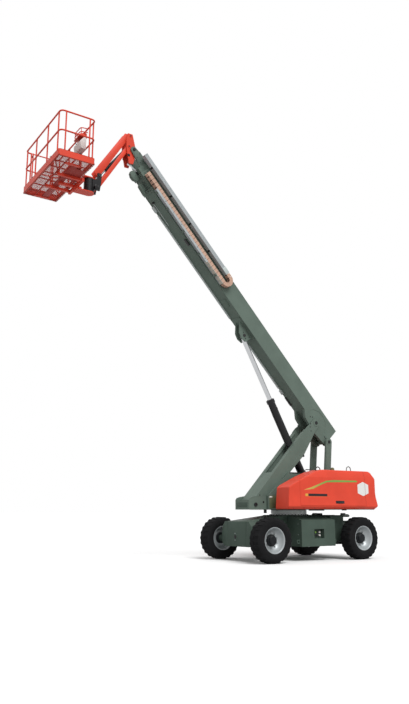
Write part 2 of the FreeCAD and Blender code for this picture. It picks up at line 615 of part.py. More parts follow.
def tail_pads(distance0, distance1, width, height, top):
    """Wear pads outside a section's tail, reaching to the section around it."""
    reach = SECTION_GAP - FIT
    w, half = width / 2, width / 2 - PAD_INSET
    low, high = -top - height + PAD_INSET, -top - PAD_INSET
    return [box(-half, half, -distance1, -distance0, -top, -top + reach),
            box(-half, half, -distance1, -distance0, -top - height - reach, -top - height),
            box(w, w + reach, -distance1, -distance0, low, high),
            box(-w - reach, -w, -distance1, -distance0, low, high)]


def boom_mid():
    tube = hollow_section(MID_TAIL, MID_TIP, MID_W, MID_H, STEP_IN, BOOM_WALL)
    head = mouth_collar(MID_TIP, MID_W, MID_H, STEP_IN, MID_COLLAR_T)
    pads = section_pads(MID_TIP - 180, MID_TIP - 30, MID_W, MID_H, STEP_IN)
    pads += tail_pads(MID_TAIL, MID_TAIL + 150, MID_W, MID_H, STEP_IN)
    return raised(fuse(tube, head, *pads))


def boom_fly():
    tube = hollow_section(FLY_TAIL, FLY_TIP, FLY_W, FLY_H, 2 * STEP_IN, BOOM_WALL)
    k = level(*PIN_K)
    top, low = -2 * STEP_IN - 20, -FLY_BOTTOM + 90
    outline = [(-FLY_TIP + 300, top), (-FLY_TIP + 300, low), (-FLY_TIP - 30, low), (k.y - 60, k.z - 80),
               (k.y - 85, k.z), (k.y - 60, k.z + 70), (-FLY_TIP - 60, top)]
    cheek = plate_x(outline, FLY_W / 2 - 36, FLY_W / 2 - BOOM_WALL)
    pin_k = pin_x(k, KNUCKLE_PIN_R, -FLY_W / 2 + 12, FLY_W / 2 - 12)
    notch = box(-NOTCH_HALF_X, NOTCH_HALF_X, -FLY_TIP - 1, -FLY_TIP + NOTCH_LEN,
                -FLY_BOTTOM - 1, -FLY_BOTTOM + BOOM_WALL + 1)
    pads = tail_pads(FLY_TAIL, FLY_TAIL + 150, FLY_W, FLY_H, 2 * STEP_IN)
    return raised(fuse(tube.cut(notch), cheek, mirrored(cheek), pin_k, *pads))


# ---------------------------------------------------------------- cable carrier
LOOP_R = (CHAIN_DEPTH - CHAIN_TOP) / 2
LOOP_DISTANCE = BASE_LEN - CHAIN_FROM_TIP + LOOP_R
DUCT_START = LOOP_DISTANCE + 112.0


def cable_chain():
    """The chain as one U-shaped belt: a long lower strand, the bend and a short upper strand."""
    x0, x1 = CHAIN_IN_X, CHAIN_OUT_X
    lower = box(x0, x1, -MID_TIP + 90, -LOOP_DISTANCE, -CHAIN_DEPTH, -CHAIN_DEPTH + CHAIN_H)
    upper = box(x0, x1, -DUCT_START + FIT, -LOOP_DISTANCE, -CHAIN_TOP - CHAIN_H, -CHAIN_TOP)
    centre = V(0, -LOOP_DISTANCE, -CHAIN_TOP - LOOP_R)
    bend = pin_x(centre, LOOP_R, x0, x1).cut(pin_x(centre, LOOP_R - CHAIN_H, x0, x1))
    bend = bend.cut(box(x0, x1, centre.y - 2 * LOOP_R, centre.y, centre.z - LOOP_R, centre.z + LOOP_R))
    return raised(fuse(lower, upper, bend))


def cable_tray():
    """The shelf under the chain's lower strand, its outer lip and its brackets on the boom."""
    start, end = -LOOP_DISTANCE - 700, -BASE_LEN + COLLAR_LEN
    floor = box(BOOM_W / 2, CHAIN_OUT_X + RUN, end, -LOOP_DISTANCE, -CHAIN_DEPTH - TRAY_T, -CHAIN_DEPTH)
    lip = box(CHAIN_OUT_X + RUN, CHAIN_OUT_X + RUN + TRAY_T, end, start,
              -CHAIN_DEPTH - TRAY_LIP, -CHAIN_DEPTH)
    link = box(CHAIN_OUT_X, CHAIN_OUT_X + RUN + TRAY_T, end, start, -CHAIN_DEPTH - TRAY_T, -CHAIN_DEPTH)
    return raised(fuse(floor, lip, link))


def cable_duct():
    """The silver duct that carries the chain's other end on the fly section."""
    top, bottom = -CHAIN_TOP, -CHAIN_TOP - DUCT_H
    start, end = -DUCT_START, -FLY_TIP - 170
    duct = box(CHAIN_IN_X, CHAIN_OUT_X, end, start, bottom, top)
    duct = duct.cut(box(CHAIN_IN_X + DUCT_WALL, CHAIN_OUT_X - DUCT_WALL, end, start,
                        bottom + DUCT_WALL, top - DUCT_WALL))
    foot = box(FLY_W / 2 - BOOM_WALL, CHAIN_IN_X, -FLY_TIP - 80, -FLY_TIP - 20, bottom + 30, top)
    return raised(fuse(duct, foot))


# ---------------------------------------------------------------- jib
KNUCKLE = on_boom(*PIN_K)
PIN_U1 = KNUCKLE + KNUCKLE_TO_U1
PIN_U2 = PIN_U1 + JIB_ARM
PIN_L1, PIN_L2 = PIN_U1 + JIB_SIDE, PIN_U2 + JIB_SIDE
LEVEL_START = on_boom(FLY_TIP - LEVEL_FROM_TIP, LEVEL_DEPTH)
LEVEL_END = KNUCKLE + LEVEL_EYE
JIB_PIN_HALF_X = CHEEK_OUT_X + 8
LEVEL_ROD_EYE_HALF_X = 30.0
LEVEL_STUB_R = 18.0


def jib_knuckle():
    outline = around(PIN_U1, [(157, -337), (57, 53), (-73, 53), (-113, -117), (-103, -367),
                              (-23, -767), (87, -767), (157, -537)])
    plate = plate_x(outline, CHEEK_IN_X, CHEEK_OUT_X)
    hub = pin_x(KNUCKLE, 2 * KNUCKLE_PIN_R, -CHEEK_OUT_X, CHEEK_OUT_X)
    pins = [pin_x(pin, JIB_PIN_R, -JIB_PIN_HALF_X, JIB_PIN_HALF_X) for pin in (PIN_U1, PIN_L1)]
    stub = pin_x(LEVEL_END, LEVEL_STUB_R, LEVEL_ROD_EYE_HALF_X + RUN, CHEEK_IN_X)
    whole = fuse(plate, mirrored(plate), hub, *pins)
    return fuse(whole.cut(pin_x(KNUCKLE, KNUCKLE_PIN_R + FIT, -300, 300)), stub, mirrored(stub))


def level_axis():
    return (LEVEL_END - LEVEL_START).normalize()


def level_barrel():
    along = level_axis()
    mouth = LEVEL_START + along * LEVEL_BARREL_LEN
    tube = rod(LEVEL_START, mouth, LEVEL_BARREL_R)
    tube = tube.cut(rod(LEVEL_START + along * 60, mouth, LEVEL_ROD_R + FIT))
    pin_half = FLY_W / 2 - BOOM_WALL - FIT
    pin = pin_x(LEVEL_START, 20, -pin_half, pin_half)
    return fuse(tube, pin_x(LEVEL_START, 45, -34, 34), pin)


def level_rod():
    along = level_axis()
    stem = rod(LEVEL_END - along * LEVEL_ROD_LEN, LEVEL_END - along * 20, LEVEL_ROD_R)
    eye = pin_x(LEVEL_END, 34, -LEVEL_ROD_EYE_HALF_X, LEVEL_ROD_EYE_HALF_X)
    return fuse(stem, eye).cut(pin_x(LEVEL_END, LEVEL_STUB_R + 1, -100, 100))


def jib_upper():
    """Two deep bars that pass above their pins, with a round lug at each pin."""
    along = V(JIB_ARM).normalize()
    outward = along.cross(X_AXIS)
    outline = [(PIN_U1, -25, 55), (PIN_U1, 25, JIB_UPPER_RISE), (PIN_U2, -15, JIB_UPPER_RISE + 25),
               (PIN_U2, 30, 60), (PIN_U2, 15, -10), (PIN_U1, -10, -10)]
    points = [pin + along * ahead + outward * rise for pin, ahead, rise in outline]
    side = plate_x([(p.y, p.z) for p in points], JIB_ARM_IN_X, JIB_ARM_OUT_X)
    for pin in (PIN_U1, PIN_U2):
        side = fuse(side, pin_x(pin, JIB_ARM_DEPTH / 2, JIB_ARM_IN_X, JIB_ARM_OUT_X))
        side = side.cut(pin_x(pin, JIB_PIN_R + FIT, 0, 2 * JIB_ARM_OUT_X))
    return both_sides(side)


def jib_lower():
    arm = bar(PIN_L1, PIN_L2, JIB_ARM_DEPTH, JIB_ARM_IN_X, JIB_ARM_OUT_X)
    for pin in (PIN_L1, PIN_L2):
        arm = arm.cut(pin_x(pin, JIB_PIN_R + FIT, 0, 2 * JIB_ARM_OUT_X))
    return both_sides(arm)


def jib_axis():
    return (PIN_U2 - PIN_L1).normalize()


def jib_barrel():
    along = jib_axis()
    mouth = PIN_L1 + along * JIB_BARREL_LEN
    tube = rod(PIN_L1 + along * 30, mouth, JIB_BARREL_R)
    tube = tube.cut(rod(PIN_L1 + along * 90, mouth, JIB_ROD_R + FIT))
    eye = pin_x(PIN_L1, 45, -44, 44)
    return fuse(tube, eye).cut(pin_x(PIN_L1, JIB_PIN_R + FIT, -100, 100))


def jib_rod():
    along = jib_axis()
    stem = rod(PIN_L1 + along * 330, PIN_U2 - along * 20, JIB_ROD_R)
    return fuse(stem, pin_x(PIN_U2, 42, -40, 40)).cut(pin_x(PIN_U2, JIB_PIN_R + FIT, -100, 100))


# ---------------------------------------------------------------- platform
SWIVEL_Y = PIN_U2.y - SWIVEL_AHEAD
SWIVEL_BOTTOM = PIN_U2.z - SWIVEL_DROP
SWIVEL_TOP = SWIVEL_BOTTOM + SWIVEL_H
PLATFORM_REAR = SWIVEL_Y - PLATFORM_AHEAD
PLATFORM_FRONT = PLATFORM_REAR - PLATFORM_DEPTH
FLOOR_Z = SWIVEL_BOTTOM + FLOOR_ABOVE_SWIVEL
TOE_TOP = FLOOR_Z + FLOOR_T + TOE_H
TOP_RAIL_Z = FLOOR_Z + RAIL_H - RAIL_R
MID_RAIL_Z = (TOP_RAIL_Z + TOE_TOP) / 2
RAIL_X = PLATFORM_HALF_X - RAIL_R
RAIL_FRONT, RAIL_REAR = PLATFORM_FRONT + RAIL_R, PLATFORM_REAR - RAIL_R


def jib_head():
    web_low, web_high = PIN_U2.z - 403, PIN_U2.z - 143
    outline = around(PIN_U2, [(55, 57), (-55, 57), (-65, -128), (-115, -143), (-115, -403),
                              (15, -403), (45, -203)])
    plate = plate_x(outline, CHEEK_IN_X, CHEEK_OUT_X)
    housing = Part.makeCylinder(SWIVEL_R, SWIVEL_H, V(0, SWIVEL_Y, SWIVEL_BOTTOM))
    web = box(-CHEEK_OUT_X, CHEEK_OUT_X, PIN_U2.y - 175, PIN_U2.y - 95, web_low, web_high)
    stub = pin_x(PIN_U2, JIB_PIN_R, JIB_ARM_IN_X - 4, JIB_PIN_HALF_X)
    pin = pin_x(PIN_L2, JIB_PIN_R, -JIB_PIN_HALF_X, JIB_PIN_HALF_X)
    return fuse(plate, mirrored(plate), housing, web, stub, mirrored(stub), pin)


def platform_mount():
    seat = PLATFORM_REAR + 8
    low, high = SWIVEL_BOTTOM - FIT - PLATE_T, SWIVEL_TOP + FIT + PLATE_T
    plates = []
    for z in (high - PLATE_T, low):
        plates.append(Part.makeCylinder(SWIVEL_R, PLATE_T, V(0, SWIVEL_Y, z)))
        plates.append(box(-SWIVEL_R, SWIVEL_R, seat, SWIVEL_Y, z, z + PLATE_T))
    upright = box(-SWIVEL_R, SWIVEL_R, seat, seat + 30, low, high)
    beam = box(-420, 420, seat, seat + 60, FLOOR_Z - 77, FLOOR_Z)
    arm = box(330, 390, seat - 600, seat + 60, FLOOR_Z - 60, FLOOR_Z)
    return fuse(*plates, upright, beam, arm, mirrored(arm))


def platform_floor():
    x, y0, y1, toe_t = PLATFORM_HALF_X, PLATFORM_FRONT, PLATFORM_REAR, 5
    plate = box(-x, x, y0, y1, FLOOR_Z, FLOOR_Z + FLOOR_T)
    toe = box(-x, x, y0, y1, FLOOR_Z + FLOOR_T, TOE_TOP)
    toe = toe.cut(box(-x + toe_t, x - toe_t, y0 + toe_t, y1 - toe_t, FLOOR_Z, TOE_TOP))
    return fuse(plate, toe)


def rail_loop(z):
    """A closed rail with rounded corners, its axis at height z."""
    r, near = RAIL_BEND_R, RAIL_BEND_R * (1 - math.sqrt(0.5))
    corners = [(RAIL_X, RAIL_FRONT, 1, -1), (RAIL_X, RAIL_REAR, 1, 1),
               (-RAIL_X, RAIL_REAR, -1, 1), (-RAIL_X, RAIL_FRONT, -1, -1)]
    bends = []
    for x, y, side, end in corners:
        on_side, on_end = V(x, y - end * r, z), V(x - side * r, y, z)
        first, last = (on_side, on_end) if side == end else (on_end, on_side)
        bends.append((first, V(x - side * near, y - end * near, z), last))
    edges = [Part.Arc(*bend).toShape() for bend in bends]
    for bend, following in zip(bends, bends[1:] + bends[:1]):
        edges.append(Part.LineSegment(bend[2], following[0]).toShape())
    path = Part.Wire(Part.__sortEdges__(edges))
    edge = path.OrderedEdges[0]
    start, tangent = edge.valueAt(edge.FirstParameter), edge.tangentAt(edge.FirstParameter)
    profile = Part.Wire(Part.Circle(start, tangent, RAIL_R).toShape())
    return path.makePipeShell([profile], True, False)


def platform_rails():
    places = [(x, y) for x in (-RAIL_X + 110, -RAIL_X / 3, RAIL_X / 3, RAIL_X - 110)
              for y in (RAIL_FRONT, RAIL_REAR)]
    places += [(x, y) for x in (-RAIL_X, RAIL_X)
               for y in (RAIL_FRONT + GATE_POST_INSET, RAIL_REAR - GATE_POST_INSET)]
    posts = [rod(V(x, y, TOE_TOP), V(x, y, TOP_RAIL_Z), POST_R) for x, y in places]
    inset = GATE_POST_INSET + POST_R
    opening = box(-RAIL_X - 60, -RAIL_X + 60, RAIL_FRONT + inset, RAIL_REAR - inset,
                  TOE_TOP + 1, TOP_RAIL_Z + 50)
    loops = [rail_loop(z).cut(opening) for z in (TOP_RAIL_Z, MID_RAIL_Z)]
    return fuse(*loops, *posts)


def gate():
    """Swings inwards on the rear post of the right-hand end."""
    reach = GATE_POST_INSET + 2 * RAIL_R + RUN
    y0, y1 = RAIL_FRONT + reach, RAIL_REAR - reach
    low = TOE_TOP + 30
    hinge_end = RAIL_REAR - GATE_POST_INSET - POST_R - FIT
    bars = [rod(V(-RAIL_X, y0, z), V(-RAIL_X, y1, z), POST_R - 2)
            for z in (TOP_RAIL_Z, MID_RAIL_Z, low)]
    uprights = [rod(V(-RAIL_X, y, low - POST_R), V(-RAIL_X, y, TOP_RAIL_Z + POST_R), POST_R)
                for y in (y0, y1)]
    hinges = [box(-RAIL_X - 8, -RAIL_X + 8, y1, hinge_end, z - 30, z + 30)
              for z in (low + 120, TOP_RAIL_Z - 120)]
    return fuse(*bars, *uprights, *hinges)


def control_console():
    rear = RAIL_REAR - RAIL_R - FIT
    return box(300, 700, rear - 154, rear, MID_RAIL_Z - 45, MID_RAIL_Z + 260)


# ---------------------------------------------------------------- assembly
def wheels():
    for end, y in (("front", -WHEELBASE / 2), ("rear", WHEELBASE / 2)):
        for side, x in (("left", TRACK / 2), ("right", -TRACK / 2)):
            export("tyre_%s_%s" % (end, side), tyre(x, y))
            export("rim_%s_%s" % (end, side), rim(x, y))


def main():
    os.makedirs("parts", exist_ok=True)
    wheels()
    export("knuckle_left", knuckle())
    export("knuckle_right", mirrored(knuckle()))
    for make in (cowl, hood):
        export(make.__name__ + "_left", make(0))
        export(make.__name__ + "_right", mirrored(make(RIGHT_COWL_SHORTER)))
    for make in (chassis_frame, front_axle, rear_axle, steer_cylinder, steer_rod, slew_ring,
                 turntable_frame, counterweight, engine_block, lower_arm, rear_links, lift_barrel,
                 lift_rod, boom_base, boom_mid, boom_fly, cable_chain, cable_tray, cable_duct,
                 jib_knuckle, level_barrel, level_rod, jib_upper, jib_lower, jib_barrel, jib_rod,
                 jib_head, platform_mount, platform_floor, platform_rails, control_console, gate):
        export(make.__name__, make())


main()
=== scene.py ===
"""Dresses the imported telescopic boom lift: finishes, detailed pieces, floor, lights and camera.

Metres, +Z up. The machine drives towards -Y and its left side is +X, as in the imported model.
"""
from __future__ import annotations

import json
import logging
import math
from dataclasses import dataclass
from enum import Enum
from typing import Iterable, Sequence

import bpy
from mathutils import Matrix, Vector

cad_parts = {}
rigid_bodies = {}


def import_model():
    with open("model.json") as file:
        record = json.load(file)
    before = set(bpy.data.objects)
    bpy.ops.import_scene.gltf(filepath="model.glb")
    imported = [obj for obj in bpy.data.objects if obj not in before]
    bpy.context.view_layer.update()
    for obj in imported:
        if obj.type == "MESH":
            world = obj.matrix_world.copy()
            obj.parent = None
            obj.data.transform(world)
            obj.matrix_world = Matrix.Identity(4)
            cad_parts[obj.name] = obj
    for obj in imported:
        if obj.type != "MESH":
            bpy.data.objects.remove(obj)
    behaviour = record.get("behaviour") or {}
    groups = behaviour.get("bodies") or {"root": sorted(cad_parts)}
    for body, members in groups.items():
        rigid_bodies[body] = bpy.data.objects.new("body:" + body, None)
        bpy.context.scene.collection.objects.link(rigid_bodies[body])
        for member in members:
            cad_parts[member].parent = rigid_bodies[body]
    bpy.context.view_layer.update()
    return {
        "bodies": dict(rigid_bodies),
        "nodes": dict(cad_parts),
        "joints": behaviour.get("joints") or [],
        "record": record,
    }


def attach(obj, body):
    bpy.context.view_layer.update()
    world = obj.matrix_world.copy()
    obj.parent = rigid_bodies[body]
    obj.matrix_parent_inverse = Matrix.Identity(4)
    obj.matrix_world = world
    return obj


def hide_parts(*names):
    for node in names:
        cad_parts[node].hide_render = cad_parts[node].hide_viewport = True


LOG = logging.getLogger("boom_lift")
Point = Sequence[float]
Triple = tuple[float, float, float]
Piece = bpy.types.Object
Nodes = bpy.types.NodeTree
Node = bpy.types.Node
Socket = bpy.types.NodeSocket


class Side(Enum):
    """The two sides of the machine, by the sign of X."""

    LEFT = 1
    RIGHT = -1

    @property
    def label(self) -> str:
        """The side's name in lower case."""
        return self.name.lower()


class Axis(Enum):
    """The three axes of the machine."""

    X = 0
    Y = 1
    Z = 2


# ------------------------------------------------------------------ modelling bench
class Bench:
    """The modelling steps that all pieces share. Every piece ends with its place in its mesh."""

    @staticmethod
    def clear() -> None:
        """Deselects everything, because an operator acts on all that is selected."""
        for obj in bpy.context.selected_objects:
            obj.select_set(False)

    @staticmethod
    def only(obj: Piece) -> Piece:
        """Makes one object the selected and active one.

        Args:
            obj: The object to work on.

        Returns:
            The same object.
        """
        Bench.clear()
        obj.select_set(True)
        bpy.context.view_layer.objects.active = obj
        return obj

    @staticmethod
    def bake_place(obj: Piece, name: str) -> Piece:
        """Moves the object's place into its mesh and names it.

        Args:
            obj: A new object.
            name: The piece's name.

        Returns:
            The same object, at the origin, unturned and unscaled.
        """
        Bench.only(obj)
        bpy.ops.object.transform_apply(location=True, rotation=True, scale=True)
        obj.name = name
        obj.data.name = name
        return obj

    @staticmethod
    def block(name: str, low: Point, high: Point, soft: float = 0.0, segments: int = 2) -> Piece:
        """A box between two corners, with its edges rounded.

        Args:
            name: The piece's name.
            low: The lowest corner.
            high: The highest corner.
            soft: The edges' radius.
            segments: Steps round each edge.

        Returns:
            The new object.
        """
        middle = [(a + b) / 2 for a, b in zip(low, high)]
        span = [abs(b - a) for a, b in zip(low, high)]
        bpy.ops.mesh.primitive_cube_add(size=1, location=middle, scale=span)
        obj = Bench.bake_place(bpy.context.object, name)
        return Bench.soften(obj, soft, segments) if soft else obj

    @staticmethod
    def rod(name: str, start: Point, end: Point, radius: float, sides: int = 24, soft: float = 0.0,
            tip_radius: float | None = None) -> Piece:
        """A round bar or cone between two points.

        Args:
            name: The piece's name.
            start: The centre of its first end.
            end: The centre of its other end.
            radius: Its radius, at the first end where the two differ.
            sides: Faces round it.
            soft: The radius of its end edges.
            tip_radius: The radius at the other end.

        Returns:
            The new object.
        """
        first, last = Vector(start), Vector(end)
        run = last - first
        turn = run.to_track_quat("Z", "Y").to_euler()
        bpy.ops.mesh.primitive_cone_add(vertices=sides, radius1=radius, radius2=radius
                if tip_radius is None else tip_radius, depth=run.length, location=(first + last) / 2,
                rotation=turn)
        obj = Bench.bake_place(bpy.context.object, name)
        if soft:
            Bench.soften(obj, soft, 2, math.radians(50))
        return Bench.smooth(obj)

    @staticmethod
    def plate(name: str, outline: Sequence[Point], axis: Axis, low: float, high: float, soft: float = 0.0,
            segments: int = 2) -> Piece:
        """A flat plate cut to an outline and extruded along an axis.

        Args:
            name: The piece's name.
            outline: Corners in the two other axes, in X, Y, Z order.
            axis: The axis through the plate.
            low: Where the plate starts on that axis.
            high: Where it ends.
            soft: The edges' radius.
            segments: Steps round each edge.

        Returns:
            The new object.
        """
        bpy.ops.mesh.primitive_circle_add(vertices=len(outline), fill_type="NGON")
        obj = bpy.context.object
        for vertex, corner in zip(obj.data.vertices, outline):
            at = list(corner)
            at.insert(axis.value, low)
            vertex.co = at
        Bench.bake_place(obj, name)
        run = [0.0, 0.0, 0.0]
        run[axis.value] = high - low
        with Bench.editing(obj):
            bpy.ops.mesh.extrude_region_move(TRANSFORM_OT_translate={"value": run})
            bpy.ops.mesh.select_all(action="SELECT")
            bpy.ops.mesh.normals_make_consistent(inside=False)
        return Bench.soften(obj, soft, segments) if soft else obj

    @staticmethod
    def turned(name: str, outline: Sequence[Point], centre: Point, axis: Axis = Axis.X,
            steps: int = 64) -> Piece:
        """A closed outline spun all the way round an axis.

        Args:
            name: The piece's name.
            outline: (distance along the axis, radius) corners.
            centre: Where the axis passes.
            axis: The axis of the turning.
            steps: Faces round it.

        Returns:
            The new object.
        """
        bpy.ops.mesh.primitive_circle_add(vertices=len(outline), fill_type="NOTHING")
        obj = bpy.context.object
        across = (axis.value + 1) % 3
        for vertex, (along, radius) in zip(obj.data.vertices, outline):
            at = [0.0, 0.0, 0.0]
            at[axis.value], at[across] = along, radius
            vertex.co = Vector(at) + Vector(centre)
        Bench.bake_place(obj, name)
        direction = [0.0, 0.0, 0.0]
        direction[axis.value] = 1.0
        with Bench.editing(obj):
            bpy.ops.mesh.spin(steps=steps, angle=2 * math.pi, center=centre, axis=direction)
            bpy.ops.mesh.select_all(action="SELECT")
            bpy.ops.mesh.remove_doubles(threshold=0.0002)
            bpy.ops.mesh.normals_make_consistent(inside=False)
        return Bench.smooth(obj)

    @staticmethod
    def pipe(name: str, route: Sequence[Point], radius: float, closed: bool = False, bend: float = 0.0,
            sides: int = 10) -> Piece:
        """A tube along a route, its corners turned as arcs.

        Args:
            name: The piece's name.
            route: The route's corners.
            radius: The tube's radius.
            closed: Whether the route ends where it starts.
            bend: The radius of its bends.
            sides: Faces round the tube.

        Returns:
            The new object.
        """
        points = Bench.rounded([Vector(p) for p in route], bend, closed) if bend else [Vector(p)
                for p in route]
        curve = bpy.data.curves.new(name, "CURVE")
        curve.dimensions = "3D"
        spline = curve.splines.new("POLY")
        spline.points.add(len(points) - 1)
        for knot, point in zip(spline.points, points):
            knot.co = (*point, 1.0)
        spline.use_cyclic_u = closed
        curve.bevel_depth = radius
        curve.bevel_resolution = max(sides // 4, 1)
        curve.use_fill_caps = not closed
        obj = bpy.data.objects.new(name, curve)
        bpy.context.scene.collection.objects.link(obj)
        Bench.only(obj)
        bpy.ops.object.convert(target="MESH")
        return Bench.smooth(bpy.context.object)

    @staticmethod
    def rounded(corners: Sequence[Vector], bend: float, closed: bool, steps: int = 6) -> list[Vector]:
        """The route with an arc at each corner.

        Args:
            corners: The route's corners.
            bend: The arcs' radius.
            closed: Whether the route ends where it starts.
            steps: Points along each arc.

        Returns:
            The points of the rounded route.
        """
        count, points = len(corners), []
        for i, corner in enumerate(corners):
            if not closed and i in (0, count - 1):
                points.append(corner)
                continue
            back, ahead = corners[i - 1] - corner, corners[(i + 1) % count] - corner
            cut = min(bend / max(math.tan(back.angle(ahead) / 2), 1e-3), back.length / 2.01,
                    ahead.length / 2.01)
            first, last = corner + back.normalized() * cut, corner + ahead.normalized() * cut
            for k in range(steps + 1):
                t = k / steps
                points.append(first * (1 - t) ** 2 + corner * 2 * t * (1 - t) + last * t ** 2)
        return points

    class editing:
        """Edit mode on one object, with all of it selected."""

        def __init__(self, obj: Piece) -> None:
            """Remembers the object.

            Args:
                obj: The mesh object to edit.
            """
            self.obj = obj

        def __enter__(self) -> Piece:
            """Enters edit mode."""
            Bench.only(self.obj)
            bpy.ops.object.mode_set(mode="EDIT")
            bpy.ops.mesh.select_all(action="SELECT")
            return self.obj

        def __exit__(self, *_: object) -> None:
            """Leaves edit mode."""
            bpy.ops.object.mode_set(mode="OBJECT")

    @staticmethod
    def modify(obj: Piece, kind: str, **settings: object) -> Piece:
        """Adds a modifier and applies it.

        Args:
            obj: The object to change.
            kind: The modifier's type.
            **settings: The modifier's settings.

        Returns:
            The same object.
        """
        modifier = obj.modifiers.new(kind.title(), kind)
        for key, value in settings.items():
            setattr(modifier, key, value)
        Bench.only(obj)
        bpy.ops.object.modifier_apply(modifier=modifier.name)
        return obj

    @staticmethod
    def soften(obj: Piece, width: float, segments: int = 2,
            angle: float = math.radians(30)) -> Piece:
        """Rounds the edges sharper than an angle."""
        Bench.modify(obj, "BEVEL", width=width, segments=segments, limit_method="ANGLE", angle_limit=angle,
                use_clamp_overlap=True)
        return Bench.smooth(obj)

    @staticmethod
    def smooth(obj: Piece, angle: float = math.radians(35)) -> Piece:
        """Shades the object smooth over its soft edges."""
        Bench.only(obj)
        bpy.ops.object.shade_smooth_by_angle(angle=angle)
        return obj

    @staticmethod
    def cut(obj: Piece, tool: Piece,
            operation: str = "DIFFERENCE") -> Piece:
        """Cuts, keeps or adds the space of another object.

        Args:
            obj: The object to change.
            tool: The object that cuts it, which is then removed.
            operation: DIFFERENCE, INTERSECT or UNION.

        Returns:
            The changed object.
        """
        Bench.modify(obj, "BOOLEAN", object=tool, operation=operation, solver="EXACT")
        bpy.data.objects.remove(tool)
        return obj

    @staticmethod
    def slice(obj: Piece, at: Point, outward: Point) -> Piece:
        """Cuts off what lies beyond a plane, and closes the cut.

        Args:
            obj: The object to cut.
            at: A point on the plane.
            outward: The direction of what is cut off.

        Returns:
            The same object.
        """
        with Bench.editing(obj):
            bpy.ops.mesh.bisect(plane_co=at, plane_no=outward, use_fill=True, clear_outer=True)
        return obj

    @staticmethod
    def copy(obj: Piece, name: str, change: Matrix) -> Piece:
        """A copy with its own mesh, moved or mirrored by a matrix.

        Args:
            obj: The piece to copy.
            name: The copy's name.
            change: Where it goes.

        Returns:
            The copy.
        """
        twin = obj.copy()
        twin.data = obj.data.copy()
        twin.name = twin.data.name = name
        bpy.context.scene.collection.objects.link(twin)
        twin.data.transform(change)
        if change.determinant() < 0:
            twin.data.flip_normals()
        return twin

    @staticmethod
    def moved(obj: Piece, change: Matrix) -> Piece:
        """Moves the mesh itself by a matrix, and keeps its faces outwards."""
        obj.data.transform(change)
        if change.determinant() < 0:
            obj.data.flip_normals()
        return obj

    @staticmethod
    def join(name: str, pieces: Iterable[Piece]) -> Piece:
        """Joins pieces of one finish into one object.

        Args:
            name: The joined piece's name.
            pieces: What to join.

        Returns:
            The joined object.
        """
        parts = list(pieces)
        Bench.only(parts[0])
        for part in parts[1:]:
            part.select_set(True)
        if len(parts) > 1:
            bpy.ops.object.join()
        obj = bpy.context.view_layer.objects.active
        obj.name = obj.data.name = name
        return obj


MIRROR = Matrix.Diagonal((-1, 1, 1, 1))


def side_matrix(side: Side) -> Matrix:
    """What turns a left-hand piece into that side's piece."""
    return Matrix.Identity(4) if side is Side.LEFT else MIRROR


def turn_about(centre: Point, angle: float, axis: Axis) -> Matrix:
    """A turn about an axis through a point."""
    place = Matrix.Translation(Vector(centre))
    return place @ Matrix.Rotation(angle, 4, axis.name) @ place.inverted()


